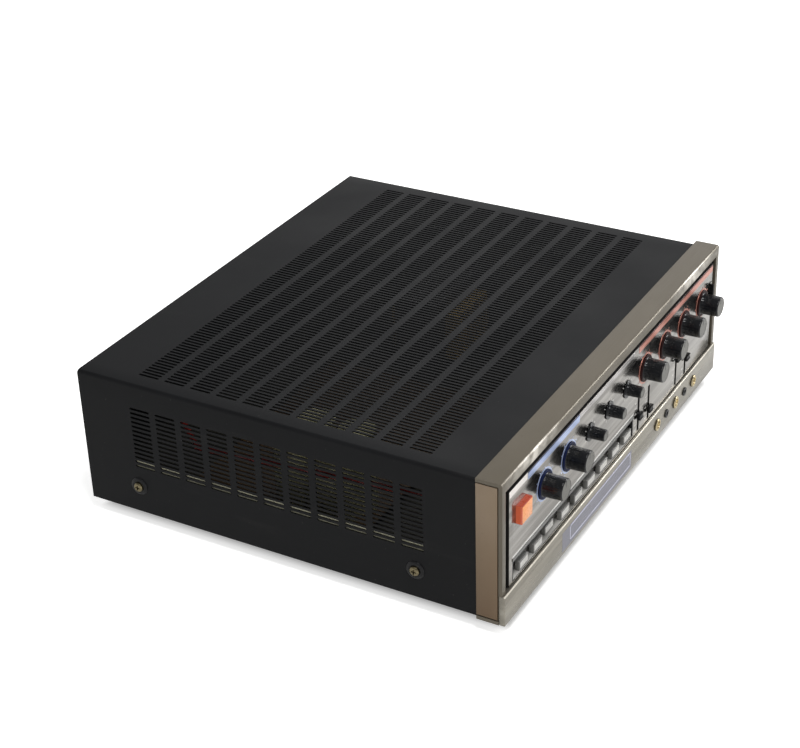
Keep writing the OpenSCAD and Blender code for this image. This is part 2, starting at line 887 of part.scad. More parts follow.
module mic_sockets() {
    w = mic_body_w / 2;
    y0 = bar_front - mic_nut_t - socket_lip;
    y1 = plate_back + mic_body_d;
    color(plastic_black) for (x = mic_xs) difference() {
        union() {
            rod_y(x, socket_z, mic_barrel_r, y0, plate_back + 1);
            block(x - w, x + w, plate_back, y1, socket_z - w, socket_z + w);
        }
        rod_y(x, socket_z, mic_bore_r, y0 - 1, y1 - socket_floor);
    }
}

module mic_nuts() {
    color(brass) for (x = mic_xs) difference() {
        rod_y(x, socket_z, mic_nut_r, bar_front - mic_nut_t, bar_front);
        rod_y(x, socket_z, mic_barrel_r + nut_fit, bar_front - mic_nut_t - 1, bar_front + 1);
    }
}

module mini_sockets() {
    w = mini_body_w / 2;
    y0 = bar_front - mini_flange_t;
    y1 = plate_back + mini_body_d;
    color(plastic_black) for (x = mini_xs) difference() {
        union() {
            rod_y(x, socket_z, mini_barrel_r + mini_flange_w, y0, bar_front);
            rod_y(x, socket_z, mini_barrel_r, y0, plate_back + 1);
            block(x - w, x + w, plate_back, y1, socket_z - w, socket_z + w);
        }
        rod_y(x, socket_z, mini_bore_r, y0 - 1, y1 - socket_floor);
    }
}

module control_board() {
    x0 = power_mid_x + power_w / 2 + switch_wall + switch_clear;
    z0 = socket_z + mic_body_w / 2 + board_clear;
    color(board_brown) block(x0, half_w - board_end, board_front, board_front + board_t,
        z0, row_z + big_can_r + board_margin);
}

module main_board() {
    color(board_brown) block(board_x0, board_x1, board_y0, board_y1, board_z0, board_z0 + board_t);
}

module board_posts() {
    color(brass) for (x = post_xs, y = post_ys) {
        translate([x, y, tray_top]) cylinder(r = post_r, h = post_h);
    }
}

// Heat sink: an upright base beside the right wall, with a comb of fins towards the vents
module heat_sink() {
    fins = floor((sink_w - fin_t) / fin_pitch);
    color(steel) translate([sink_x0, sink_y0, tray_top]) linear_extrude(sink_h) union() {
        square([sink_base_t, sink_w]);
        for (i = [0:fins]) translate([0, i * fin_pitch]) square([sink_base_t + fin_d, fin_t]);
    }
}

module power_transistors() {
    z0 = tray_top + transistor_up;
    w = transistor_w / 2;
    color(plastic_black) for (i = [0:3]) {
        y = sink_y0 + sink_w * (i + 0.5) / 4;
        block(sink_x0 - transistor_t, sink_x0, y - w, y + w, z0, z0 + transistor_h);
    }
}

// Filter capacitors: a square of four at the board's front left corner
module filter_capacitors() {
    pitch = 2 * cap_r + cap_gap;
    color("#8a865c") for (i = [0:1], j = [0:1]) {
        translate([board_x0 + cap_inset + i * pitch, board_y0 + cap_inset + j * pitch, board_z0 + board_t]) {
            cylinder(r = cap_r, h = cap_h);
        }
    }
}

// Transformer laminations: two windows beside the middle leg
module transformer_core() {
    u = core_u;
    z = tray_top + core_h / 2;
    color("#6c6f72") sheet(core_y - core_d / 2, core_y + core_d / 2) difference() {
        area(core_x - 3 * u, core_x + 3 * u, tray_top, tray_top + core_h);
        for (s = [-1.5, 1.5]) slot_hole(core_x + s * u, z, u, 3 * u);
    }
}

// Winding around the transformer's middle leg
module transformer_coil() {
    u = core_u;
    z = tray_top + core_h / 2;
    h = 1.5 * u - fit;
    overhang = 0.8 * u;
    leg_y = core_d / 2 + fit;
    color("#b08d4a") difference() {
        block(core_x - 2 * u + fit, core_x + 2 * u - fit, core_y - core_d / 2 - overhang,
            core_y + core_d / 2 + overhang, z - h, z + h);
        block(core_x - u - fit, core_x + u + fit, core_y - leg_y, core_y + leg_y,
            z - h - 1, z + h + 1);
    }
}

// Points of a ring around one point of a wire's route, square to the route there
function unit(v) = v / norm(v);
function heading(route, i) =
    unit(route[min(i + 1, len(route) - 1)] - route[max(i - 1, 0)]);
function ring(p, t, r, sides) =
    let (u = unit(cross(t, [0, 0, 1])), v = cross(u, t))
    [for (k = [0:sides - 1]) p + r * (cos(k * 360 / sides) * u + sin(k * 360 / sides) * v)];

// Round wire of even thickness along a route
module wire(route, r, sides) {
    last = len(route) - 1;
    points = [for (i = [0:last]) each ring(route[i], heading(route, i), r, sides)];
    skin = [for (i = [0:last - 1], k = [0:sides - 1])
        let (n = (k + 1) % sides, a = i * sides, b = a + sides)
        each [[a + k, a + n, b + n], [a + k, b + n, b + k]]];
    ends = concat(
        [for (k = [1:sides - 2]) [0, k + 1, k]],
        [for (k = [1:sides - 2]) [last * sides, last * sides + k, last * sides + k + 1]]);
    polyhedron(points, concat(skin, ends));
}

// Mains wire from the power switch back along the left side to the fuse
module mains_wire() {
    a = [power_mid_x, plate_back + switch_d, power_mid_z];
    b = [power_mid_x, wire_run_y - wire_bend, power_mid_z];
    c = [wire_x, wire_run_y + wire_bend, power_mid_z];
    d = [wire_x, wire_rear_y - wire_slope, fuse_z];
    e = [fuse_x, wire_rear_y, fuse_z];
    f = [fuse_x, rear_face - fuse_in, fuse_z];
    color("#b3261e") wire([a, b, c, d, e, f], wire_r, 10);
}

module line_sockets() {
    color("#c8c8c4") for (x = line_xs, z = line_zs) difference() {
        union() {
            rod_y(x, z, line_flange_r, rear_face, rear_face + line_flange_t);
            rod_y(x, z, line_barrel_r, rear_inner - line_tail, rear_face + line_len);
        }
        rod_y(x, z, line_bore_r, rear_face + line_len - line_bore_d, rear_face + line_len + 1);
    }
}

// Speaker terminals: a block with raised walls between its screws
module speaker_block() {
    x0 = speaker_x0;
    y1 = rear_face + speaker_d;
    z0 = speaker_z - speaker_h / 2;
    color(plastic_black) difference() {
        union() {
            block(x0, x0 + speaker_w, rear_face, y1, z0, z0 + speaker_h);
            for (i = [0:4]) {
                x = x0 + i * (speaker_w - speaker_wall) / 4;
                block(x, x + speaker_wall, y1 - 1, y1 + speaker_wall_d, z0, z0 + speaker_h);
            }
        }
        for (x = speaker_xs) rod_y(x, speaker_z, screw_r + nut_fit, rear_face + 1, y1 + 1);
    }
}

module speaker_screws() {
    y = rear_face + speaker_d;
    color(brass) for (x = speaker_xs) {
        rod_y(x, speaker_z, speaker_head_r, y, y + speaker_head_t);
        rod_y(x, speaker_z, screw_r, y - speaker_screw_in, y + 1);
    }
}

module cord_bush() {
    inner = -plate_t - bush_in;
    color(plastic_black) translate([bush_x, rear_face, bush_z]) rotate([-90, 0, 0]) rotate_extrude() {
        polygon([
            [bush_bore_r, inner], [bush_neck_r, inner], [bush_neck_r, 0],
            [bush_flange_r, 0], [bush_flange_r - 1, bush_out], [bush_bore_r, bush_out]
        ]);
    }
}

module fuse_holder() {
    color(plastic_black) union() {
        rod_y(fuse_x, fuse_z, fuse_r, rear_face - fuse_in, rear_face + fuse_collar);
        rod_y(fuse_x, fuse_z, fuse_r + fuse_collar, rear_face, rear_face + fuse_collar);
        rod_y(fuse_x, fuse_z, fuse_r - fuse_cap_step, rear_face + 1, rear_face + fuse_cap_d);
    }
}

module feet() {
    bore = screw_r + fit;
    recess = screw_head_r + 1;
    color(plastic_black) for (x = foot_xs, y = foot_ys) translate([x, y, 0]) rotate_extrude() polygon([
        [recess, 0], [foot_r - foot_chamfer, 0], [foot_r, foot_chamfer], [foot_r - foot_taper, foot_h],
        [bore, foot_h], [bore, foot_bore_d], [recess, foot_bore_d]
    ]);
}

// Screw with its head's seat at the origin and its shank along +Z
module screw() {
    translate([0, 0, -screw_head_t]) cylinder(r = screw_head_r, h = screw_head_t);
    translate([0, 0, -eps]) cylinder(r = screw_r, h = screw_len);
}

module chassis_screws() {
    color(steel) {
        for (x = foot_xs, y = foot_ys) translate([x, y, foot_bore_d]) screw();
        for (x = rear_screw_xs) translate([x, rear_face, rear_screw_z]) rotate([90, 0, 0]) screw();
    }
}

module side_screws() {
    seat = -half_w - washer_t;
    color(brass) for (s = [0, 1], y = side_screw_ys) mirror([s, 0, 0]) union() {
        rod_x(y, side_screw_z, side_head_r, seat - side_head_t, seat);
        rod_x(y, side_screw_z, side_screw_r, seat - 1, -half_w + side_screw_in);
    }
}

module cup_washers() {
    bore = side_screw_r + fit;
    color(plastic_black) for (s = [0, 1], y = side_screw_ys) mirror([s, 0, 0]) {
        translate([-half_w, y, side_screw_z]) rotate([0, -90, 0]) rotate_extrude() polygon([
            [bore, 0], [washer_r, 0], [washer_r, washer_rim], [washer_seat_r, washer_t], [bore, washer_t]
        ]);
    }
}

top_cover();
bottom_chassis();
rear_panel();
inner_front_plate();
front_frame();
cheek_plates();
lower_bar();
control_panel();
button_channel();
power_button();
power_switch();
big_knob(big_knobs_left[0]);  // mic_1_knob
big_knob(big_knobs_left[1]);  // mic_2_knob
small_knob(small_knobs[0]);  // echo_knob
small_knob(small_knobs[1]);  // delay_knob
small_knob(small_knobs[2]);  // repeat_knob
big_knob(big_knobs_right[0]);  // music_knob
big_knob(big_knobs_right[1]);  // bass_knob
big_knob(big_knobs_right[2]);  // treble_knob
big_knob(big_knobs_right[3]);  // balance_knob
rotary_controls();
push_button(0, 0);  // push_button_1
push_button(1, 0);  // push_button_2
push_button(2, push_set_in);  // push_button_3
push_button(3, 0);  // push_button_4
push_button(4, 0);  // push_button_5
push_button(5, 0);  // push_button_6
push_button(6, 0);  // push_button_7
push_button(7, 0);  // push_button_8
push_button(8, 0);  // push_button_9
push_switches();
slider(0);  // slider_1
slider(1);  // slider_2
slider(2);  // slider_3
slider(3);  // slider_4
slide_controls();
tone_switch();
tone_lever();
mic_sockets();
mic_nuts();
mini_sockets();
control_board();
main_board();
board_posts();
heat_sink();
power_transistors();
filter_capacitors();
transformer_core();
transformer_coil();
mains_wire();
line_sockets();
speaker_block();
speaker_screws();
cord_bush();
fuse_holder();
feet();
chassis_screws();
side_screws();
cup_washers();
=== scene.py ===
# Karaoke amplifier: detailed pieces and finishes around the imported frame, in metres
import json
import math

import bmesh
import bpy
from mathutils import Matrix, Vector


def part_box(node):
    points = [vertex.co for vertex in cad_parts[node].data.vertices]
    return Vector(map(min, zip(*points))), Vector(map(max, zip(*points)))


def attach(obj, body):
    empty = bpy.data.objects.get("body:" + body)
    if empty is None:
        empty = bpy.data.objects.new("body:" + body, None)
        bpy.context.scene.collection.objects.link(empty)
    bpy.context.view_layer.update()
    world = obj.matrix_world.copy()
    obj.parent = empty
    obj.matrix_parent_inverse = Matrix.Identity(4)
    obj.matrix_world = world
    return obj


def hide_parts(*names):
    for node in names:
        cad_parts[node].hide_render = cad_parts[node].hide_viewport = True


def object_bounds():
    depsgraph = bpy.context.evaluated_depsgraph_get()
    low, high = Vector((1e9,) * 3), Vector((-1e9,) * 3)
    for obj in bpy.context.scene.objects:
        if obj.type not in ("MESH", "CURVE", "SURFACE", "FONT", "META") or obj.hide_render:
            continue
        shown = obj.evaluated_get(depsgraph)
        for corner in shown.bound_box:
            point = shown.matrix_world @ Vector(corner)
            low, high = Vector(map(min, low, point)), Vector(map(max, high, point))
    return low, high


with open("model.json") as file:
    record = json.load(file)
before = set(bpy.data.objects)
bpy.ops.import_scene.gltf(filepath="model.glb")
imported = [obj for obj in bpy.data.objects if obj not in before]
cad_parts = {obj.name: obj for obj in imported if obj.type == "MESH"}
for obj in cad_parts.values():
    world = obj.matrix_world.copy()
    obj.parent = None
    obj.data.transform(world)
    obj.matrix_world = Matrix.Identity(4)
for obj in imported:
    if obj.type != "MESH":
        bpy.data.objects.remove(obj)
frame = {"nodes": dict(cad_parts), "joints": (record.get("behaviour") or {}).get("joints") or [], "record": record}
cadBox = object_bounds()
mm = 0.001
print("frame loaded:", len(frame["nodes"]), "nodes")


# Camera at the photograph's viewing angle, fitted to the case's edges
shot = {
    "azimuth": -59.973,
    "elevation": 29.631,
    "roll": -1.853,
    "lens": 80.28,  # mm
    "sensor": 36,  # mm across
    "nearest": 0.05,
    "place": (-1.1303, -0.6335, 0.8030),
}


def setCamera():
    az, el, roll = (math.radians(shot[k]) for k in ("azimuth", "elevation", "roll"))
    aimed = Matrix.Rotation(az, 4, "Z") @ Matrix.Rotation(math.pi / 2 - el, 4, "X")
    data = bpy.data.cameras.new("photoCamera")
    data.lens = shot["lens"]
    data.sensor_width = shot["sensor"]
    data.clip_start = shot["nearest"]
    camera = bpy.data.objects.new("photoCamera", data)
    camera.matrix_world = Matrix.Translation(shot["place"]) @ aimed @ Matrix.Rotation(roll, 4, "Z")
    bpy.context.scene.collection.objects.link(camera)
    bpy.context.scene.camera = camera


setCamera()
print("camera set")


# Node helpers shared by the finishes: a value that is a socket is linked, any other is set
def fill(tree, node, values):
    for name, value in values.items():
        if isinstance(value, bpy.types.NodeSocket):
            tree.links.new(value, node.inputs[name])
        else:
            node.inputs[name].default_value = value


def addNode(tree, kind, values):
    node = tree.nodes.new("ShaderNode" + kind)
    fill(tree, node, values)
    return node


def noiseOf(tree, place, scale, stretch=(1, 1, 1), detail=3):
    mapping = addNode(tree, "Mapping", {"Vector": place, "Scale": stretch})
    noise = addNode(tree, "TexNoise", {"Vector": mapping.outputs[0], "Scale": scale, "Detail": detail})
    return noise.outputs["Fac"]


# Map one range of values, the middle of a noise if not given, to another
def spread(tree, value, low, high, start=0.3, end=0.7):
    ranges = {"From Min": start, "From Max": end, "To Min": low, "To Max": high}
    return addNode(tree, "MapRange", {"Value": value, **ranges}).outputs["Result"]


def blendColour(tree, fac, first, second):
    node = tree.nodes.new("ShaderNodeMix")
    node.data_type = "RGBA"
    tree.links.new(fac, node.inputs[0])
    sockets = [s for s in node.inputs if s.type == "RGBA"]
    for socket, colour in zip(sockets, (first, second)):
        if isinstance(colour, tuple):
            socket.default_value = (*colour, 1)
        else:
            tree.links.new(colour, socket)
    return next(s for s in node.outputs if s.type == "RGBA")


def addMath(tree, operation, *values):
    node = tree.nodes.new("ShaderNodeMath")
    node.operation = operation
    fill(tree, node, dict(enumerate(values)))
    return node.outputs[0]


def splitPlace(tree, place):
    return addNode(tree, "SeparateXYZ", {"Vector": place}).outputs


def scaled(colour, share):
    return tuple(min(1.0, c * share) for c in colour)


# Painted shade: blend to a darker colour towards the foot, between two heights in millimetres
def shadeFoot(tree, place, colour, foot):
    low, high, shaded = foot
    up = spread(tree, splitPlace(tree, place)["Z"], 0, 1, low * mm, high * mm)
    return blendColour(tree, up, shaded, colour)


def startFinish(name):
    material = bpy.data.materials.new(name)
    material.use_nodes = True
    tree = material.node_tree
    place = addNode(tree, "TexCoord", {}).outputs["Object"]
    return material, tree, tree.nodes["Principled BSDF"], place


# What any finish has; lengths in millimetres, here and in the looks below
usual = {
    "roughChange": 0.06,  # to either side
    "metal": 0,
    "gloss": 0.5,
    "coat": 0,
    "coatRough": 0.1,
    "bump": 0.1,
    "relief": 0.02,
}


# A design gives the colour, the pattern that the roughness follows and the height of the relief
def makeFinish(name, design, look):
    look = {**usual, **look}
    material, tree, shader, place = startFinish(name)
    colour, pattern, height = design(tree, place, look)
    rough, change = look["rough"], look["roughChange"]
    relief = look["relief"] * mm
    bump = addNode(tree, "Bump", {"Height": height, "Strength": look["bump"], "Distance": relief})
    fill(tree, shader, {
        "Base Color": colour,
        "Roughness": spread(tree, pattern, rough - change, rough + change),
        "Metallic": look["metal"],
        "Specular IOR Level": look["gloss"],
        "Coat Weight": look["coat"],
        "Coat Roughness": look["coatRough"],
        "Normal": bump.outputs["Normal"],
    })
    return material


# Fine grain with slow, faint colour change, and a painted shade towards the foot where a look has one
grainUsual = {"grain": 0.5, "stretch": (1, 1, 1), "shade": 0.8}


def grained(tree, place, look):
    grain = noiseOf(tree, place, 1 / (look["grain"] * mm), look["stretch"])
    cloud = noiseOf(tree, place, 1 / (look["cloud"] * mm))
    colour = look["colour"]
    clouded = blendColour(tree, spread(tree, cloud, 0, 1), scaled(colour, look["shade"]), colour)
    if "foot" in look:
        clouded = shadeFoot(tree, place, clouded, look["foot"])
    return clouded, grain, grain


# Satin black paint of the cover, with dust and a few faint rubs
paintUsual = {
    "shade": 0.8,
    "clouds": 14,  # per metre
    "dustFrom": (0.76, 0.84),
    "rubs": 60,  # per metre
    "rubStretch": (1, 0.12, 1),
    "rubFrom": (0.62, 0.75),
    "bump": 0.25,
    "relief": 0.03,
}


def painted(tree, place, look):
    peel = noiseOf(tree, place, 1 / (look["orangePeel"] * mm), detail=2)
    cloud = noiseOf(tree, place, look["clouds"], detail=4)
    speck = noiseOf(tree, place, 1 / (look["dustSize"] * mm), detail=1)
    rub = noiseOf(tree, place, look["rubs"], look["rubStretch"], detail=5)
    colour, dust = look["colour"], look["dust"]
    paint = blendColour(tree, spread(tree, cloud, 0, 1), scaled(colour, look["shade"]), colour)
    specks = spread(tree, speck, 0, look["dustWeight"], *look["dustFrom"])
    rubs = spread(tree, rub, 0, look["rubWeight"], *look["rubFrom"])
    return blendColour(tree, rubs, blendColour(tree, specks, paint, dust), dust), cloud, peel


# Brushed metal and foil with stains, and where a look has them broad streaks, painted highlights in patches
# at given places and a painted shade towards the foot
brushedUsual = {
    "line": 0.8,
    "lineShade": 0.93,
    "along": (0.02, 1, 1),
    "clouds": 22,  # per metre
    "cloudWeight": 0.8,
    "stain": 0.3,
    "stainSize": 6,
    "stainFrom": (0.66, 0.8),
    "spotShade": 0.5,
    "streakAlong": (0.03, 1, 1),
    "streakFrom": (0.4, 0.65),
    "streakLight": 1.9,
    "paintedHighlightFrom": (0.35, 0.6),
    "paintedHighlightLeast": 0.25,
    "metal": 1,
    "bump": 0.12,
    "relief": 0.01,
}


def brushed(tree, place, look):
    lines = noiseOf(tree, place, 1 / (look["line"] * mm), look["along"], detail=4)
    cloud = noiseOf(tree, place, look["clouds"], detail=4)
    stain = noiseOf(tree, place, 1 / (look["stainSize"] * mm))
    colour = look["colour"]
    lined = blendColour(tree, spread(tree, lines, 0, 1), scaled(colour, look["lineShade"]), colour)
    clouded = blendColour(tree, spread(tree, cloud, 0, look["cloudWeight"]), lined, look["warm"])
    spots = spread(tree, stain, 0, look["stain"], *look["stainFrom"])
    worn = blendColour(tree, spots, clouded, look.get("spot", scaled(colour, look["spotShade"])))
    if "streak" in look:
        size, depth = look["streak"]
        broad = noiseOf(tree, place, 1 / (size * mm), look["streakAlong"], detail=2)
        lit = spread(tree, broad, 0, depth, *look["streakFrom"])
        worn = blendColour(tree, lit, worn, scaled(colour, look["streakLight"]))
    # Painted highlights: bright patches that fade out from given places along X
    if "paintedHighlights" in look:
        middles, reach, bright = look["paintedHighlights"]
        across = splitPlace(tree, place)["X"]
        patchy = spread(tree, stain, look["paintedHighlightLeast"], 1, *look["paintedHighlightFrom"])
        for middle in middles:
            away = addMath(tree, "ABSOLUTE", addMath(tree, "SUBTRACT", across, middle * mm))
            near = spread(tree, away, 1, 0, 0, reach * mm)
            worn = blendColour(tree, addMath(tree, "MULTIPLY", near, patchy), worn, bright)
    if "foot" in look:
        worn = shadeFoot(tree, place, worn, look["foot"])
    return worn, lines, lines


# Stripes across one axis, for stacked laminations and wound tape
stripedUsual = {
    "waver": 0.4,
    "clouds": 60,  # per metre
    "cloudWeight": 0.35,
    "roughChange": 0.08,
    "bump": 0.4,
    "relief": 0.1,
}


def striped(tree, place, look):
    wave = addNode(tree, "TexWave", {"Vector": place, "Scale": look["scale"], "Distortion": look["waver"]})
    wave.bands_direction = look["axis"]
    stripes = wave.outputs["Fac"]
    cloud = noiseOf(tree, place, look["clouds"])
    lined = blendColour(tree, stripes, look["dark"], look["colour"])
    worn = blendColour(tree, spread(tree, cloud, 0, look["cloudWeight"]), lined, look["dark"])
    return worn, cloud, stripes


# Circuit board: lacquer over a net of copper tracks
boardUsual = {
    "trackWidth": 0.08,  # share of the pitch
    "trackSoft": 0.1,
    "clouds": 40,  # per metre
    "cloudWeight": 0.4,
    "bump": 0.3,
    "relief": 0.05,
}


def tracked(tree, place, look):
    net = addNode(tree, "TexBrick", {"Vector": place, "Scale": 1 / (look["pitch"] * mm),
                                     "Mortar Size": look["trackWidth"], "Mortar Smooth": look["trackSoft"]})
    tracks = net.outputs["Fac"]
    cloud = noiseOf(tree, place, look["clouds"])
    lined = blendColour(tree, tracks, look["lacquer"], look["track"])
    worn = blendColour(tree, spread(tree, cloud, 0, look["cloudWeight"]), lined, look["worn"])
    return worn, cloud, tracks


grainLooks = {
    "blackPlastic": {"colour": (0.012, 0.012, 0.013), "rough": 0.45, "cloud": 20, "gloss": 0.35},
    "knobPlastic": {"colour": (0.006, 0.0065, 0.008), "rough": 0.13, "grain": 0.6, "cloud": 9, "gloss": 0.34,
                    "relief": 0.005},
    "capPlastic": {"colour": (0.007, 0.007, 0.0075), "rough": 0.5, "cloud": 8, "gloss": 0.12},
    "navySkirt": {"colour": (0.006, 0.012, 0.055), "rough": 0.5, "grain": 0.6, "cloud": 9, "gloss": 0.1},
    "maroonSkirt": {"colour": (0.024, 0.006, 0.006), "rough": 0.5, "grain": 0.6, "cloud": 9, "gloss": 0.1},
    # Power button: the front is a lighter copy of the orange (painted light), the top a darker one (painted shade)
    "orangePlastic": {"colour": (0.74, 0.105, 0.022), "rough": 0.2, "grain": 1.2, "cloud": 8, "shade": 0.92,
                      "coat": 0.7, "coatRough": 0.06, "relief": 0.005},
    "orangeFacePaintedLight": {"colour": (0.98, 0.34, 0.075), "rough": 0.3, "grain": 1.2, "cloud": 8, "shade": 0.9,
                   "coat": 0.35, "relief": 0.005},
    "orangeTopPaintedShade": {"colour": (0.36, 0.042, 0.012), "rough": 0.3, "grain": 1.2, "cloud": 8, "shade": 0.9,
                    "relief": 0.005},
    "palePlastic": {"colour": (0.58, 0.57, 0.54), "rough": 0.3, "grain": 0.7, "cloud": 7, "shade": 0.9},
    "greyPlastic": {"colour": (0.19, 0.188, 0.178), "rough": 0.35, "grain": 0.7, "cloud": 7},
    "blackPlate": {"colour": (0.013, 0.012, 0.012), "rough": 0.55, "grain": 0.6, "cloud": 45, "gloss": 0.25},
    # Darker on the tray floor below the flanges: painted shade
    "zincSteel": {"colour": (0.84, 0.81, 0.60), "rough": 0.5, "grain": 0.8, "cloud": 25, "shade": 0.7,
                  "metal": 0.3, "foot": (52, 58, (0.035, 0.033, 0.025))},  # bright at the flanges' edges
    "canSteel": {"colour": (0.45, 0.45, 0.44), "rough": 0.38, "cloud": 12, "metal": 1},
    "goldPlate": {"colour": (0.64, 0.54, 0.34), "rough": 0.3, "cloud": 5, "shade": 0.7, "metal": 0.9},
    # A darker copy of goldPlate: painted shade on the nuts' sides and the posts inside the case
    "goldPaintedShade": {"colour": (0.10, 0.085, 0.055), "rough": 0.35, "cloud": 5, "shade": 0.6, "metal": 1},
    "screwBrass": {"colour": (0.25, 0.21, 0.125), "rough": 0.3, "grain": 0.4, "cloud": 3, "shade": 0.6,
                   "metal": 1},
    "screwSteel": {"colour": (0.6, 0.6, 0.58), "rough": 0.3, "grain": 0.4, "cloud": 4, "shade": 0.7,
                   "metal": 1},
    "nickel": {"colour": (0.70, 0.69, 0.66), "rough": 0.18, "cloud": 6, "metal": 1},
    "sinkMetal": {"colour": (0.30, 0.30, 0.29), "rough": 0.45, "grain": 0.4, "cloud": 16, "metal": 1,
                  "stretch": (1, 1, 0.03), "bump": 0.3},
    "capSleeve": {"colour": (0.34, 0.32, 0.18), "rough": 0.25, "grain": 1.0, "cloud": 12, "coat": 0.4},
    "redWire": {"colour": (0.24, 0.018, 0.012), "rough": 0.35, "grain": 0.8, "cloud": 10},
    "footRubber": {"colour": (0.02, 0.02, 0.02), "rough": 0.75, "grain": 0.4, "cloud": 8, "gloss": 0.3,
                   "bump": 0.4},
    "washerBlack": {"colour": (0.012, 0.012, 0.013), "rough": 0.32, "cloud": 5, "gloss": 0.22},
    "whiteBand": {"colour": (0.90, 0.86, 0.82), "rough": 0.4, "grain": 0.4, "cloud": 6, "shade": 0.94},
    "whiteInk": {"colour": (0.80, 0.79, 0.76), "rough": 0.4, "grain": 0.4, "cloud": 4, "shade": 0.9},
    "redCollar": {"colour": (0.50, 0.03, 0.03), "rough": 0.35, "grain": 0.6, "cloud": 6},
    "whiteCollar": {"colour": (0.72, 0.71, 0.67), "rough": 0.35, "grain": 0.6, "cloud": 6, "shade": 0.9},
}
brushedLooks = {
    "champagne": {"colour": (0.152, 0.131, 0.099), "warm": (0.128, 0.110, 0.081), "rough": 0.43, "line": 0.7,
                  "metal": 0.45, "bump": 0.2},
    # Front of the frame: bright stains as edge wear, and painted highlights in patches at two places along X
    "wornEdgeAndPaintedHighlight": {"colour": (0.165, 0.146, 0.114), "warm": (0.138, 0.120, 0.092), "rough": 0.41, "line": 0.7,
                 "metal": 0.45, "stain": 0.5, "spot": (0.5, 0.47, 0.41), "stainSize": 10,
                 "paintedHighlights": ((-160, 150), 48, (0.74, 0.70, 0.63))},  # places and reach along X
    # Darker towards the foot: painted shade
    "cheekMetal": {"colour": (0.29, 0.222, 0.158), "warm": (0.24, 0.178, 0.115), "rough": 0.43, "line": 0.7,
                   "along": (1, 1, 0.02), "metal": 0.55, "foot": (15, 115, (0.165, 0.108, 0.062))},
    "barMetal": {"colour": (0.265, 0.248, 0.212), "warm": (0.215, 0.198, 0.163), "rough": 0.31, "line": 0.7,
                 "metal": 0.8, "streak": (9, 0.35), "stain": 0.15},
    # A light copy of barMetal for the bar's upper edge: painted highlight
    "barEdgePaintedHighlight": {"colour": (0.70, 0.66, 0.57), "warm": (0.62, 0.58, 0.49), "rough": 0.36, "line": 0.7,
                "metal": 0.35, "bump": 0.04, "stain": 0.1},
    "panelMetal": {"colour": (0.27, 0.258, 0.243), "warm": (0.22, 0.21, 0.195), "rough": 0.2, "bump": 0.04,
                   "stain": 0.2, "streak": (5, 0.6)},
    "knobFace": {"colour": (0.13, 0.127, 0.112), "warm": (0.105, 0.102, 0.09), "rough": 0.27, "line": 0.5},
    "insetGrey": {"colour": (0.17, 0.167, 0.16), "warm": (0.14, 0.137, 0.13), "rough": 0.36, "metal": 0.2},
    # Lining of the push buttons' recess: partly its grey, brightened as painted light
    "liningGreyPaintedLight": {"colour": (0.55, 0.54, 0.51), "warm": (0.45, 0.44, 0.42), "rough": 0.41, "metal": 0.2},
    "blueFoil": {"colour": (0.52, 0.61, 0.84), "warm": (0.42, 0.51, 0.78), "rough": 0.29, "bump": 0.04,
                 "metal": 0.35},
    # A dark line along the blue band's top: painted shadow of the frame's lip
    "navyPaintedShadow": {"colour": (0.03, 0.045, 0.13), "warm": (0.02, 0.03, 0.10), "rough": 0.29},
    "redFoil": {"colour": (0.62, 0.27, 0.21), "warm": (0.55, 0.22, 0.17), "rough": 0.29, "bump": 0.04,
                "metal": 0.35},
    # A dark line along the red band's top: painted shadow of the frame's lip
    "darkRedPaintedShadow": {"colour": (0.14, 0.02, 0.015), "warm": (0.10, 0.015, 0.01), "rough": 0.29},
    "paleFoil": {"colour": (0.54, 0.52, 0.51), "warm": (0.46, 0.44, 0.43), "rough": 0.26, "bump": 0.04,
                 "metal": 0.6},
    "lilacFoil": {"colour": (0.62, 0.62, 0.76), "warm": (0.55, 0.55, 0.69), "rough": 0.31, "metal": 0.4},
    "slateFoil": {"colour": (0.235, 0.235, 0.275), "warm": (0.19, 0.19, 0.23), "rough": 0.29},
}
stripedLooks = {
    "coreSteel": {"axis": "Y", "scale": 80, "colour": (0.25, 0.25, 0.26), "dark": (0.08, 0.075, 0.07),
                  "rough": 0.5, "metal": 0.7},
    "coilTape": {"axis": "Z", "scale": 6, "colour": (0.55, 0.38, 0.12), "dark": (0.33, 0.21, 0.06),
                 "rough": 0.4},
}
coverLooks = {
    "coverPaint": {"colour": (0.0085, 0.0088, 0.0098), "dust": (0.050, 0.048, 0.045), "dustSize": 2.4,
                   "dustWeight": 0.45, "rubWeight": 0.10, "rough": 0.46, "gloss": 0.12, "orangePeel": 0.7},
}
boardLooks = {
    "circuitBoard": {"lacquer": (0.036, 0.022, 0.010), "track": (0.075, 0.044, 0.019),
                     "worn": (0.020, 0.013, 0.006), "pitch": 7, "rough": 0.375, "roughChange": 0.075},
}
families = (
    (grained, grainUsual, grainLooks),
    (brushed, brushedUsual, brushedLooks),
    (striped, stripedUsual, stripedLooks),
    (painted, paintUsual, coverLooks),
    (tracked, boardUsual, boardLooks),
)
finish = {}
for design, kind, looks in families:
    for name, look in looks.items():
        finish[name] = makeFinish(name, design, {**kind, **look})
print("finishes made:", len(finish))


# Mesh helpers; lengths in metres unless a note says millimetres
tiny = 0.001 * mm  # points about this close are one
smoothAngle = 32  # degrees between faces that still shade smoothly


def makePiece(bm, name, materials, body, replaces=()):
    bmesh.ops.remove_doubles(bm, verts=bm.verts, dist=tiny / 2)
    for face in bm.faces:
        face.smooth = True
    for edge in bm.edges:
        if len(edge.link_faces) == 2:
            edge.smooth = edge.calc_face_angle(0) < math.radians(smoothAngle)
    mesh = bpy.data.meshes.new(name)
    bm.to_mesh(mesh)
    bm.free()
    for material in materials:
        mesh.materials.append(finish[material])
    piece = bpy.data.objects.new(name, mesh)
    bpy.context.scene.collection.objects.link(piece)
    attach(piece, body)
    if replaces:
        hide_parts(*replaces)


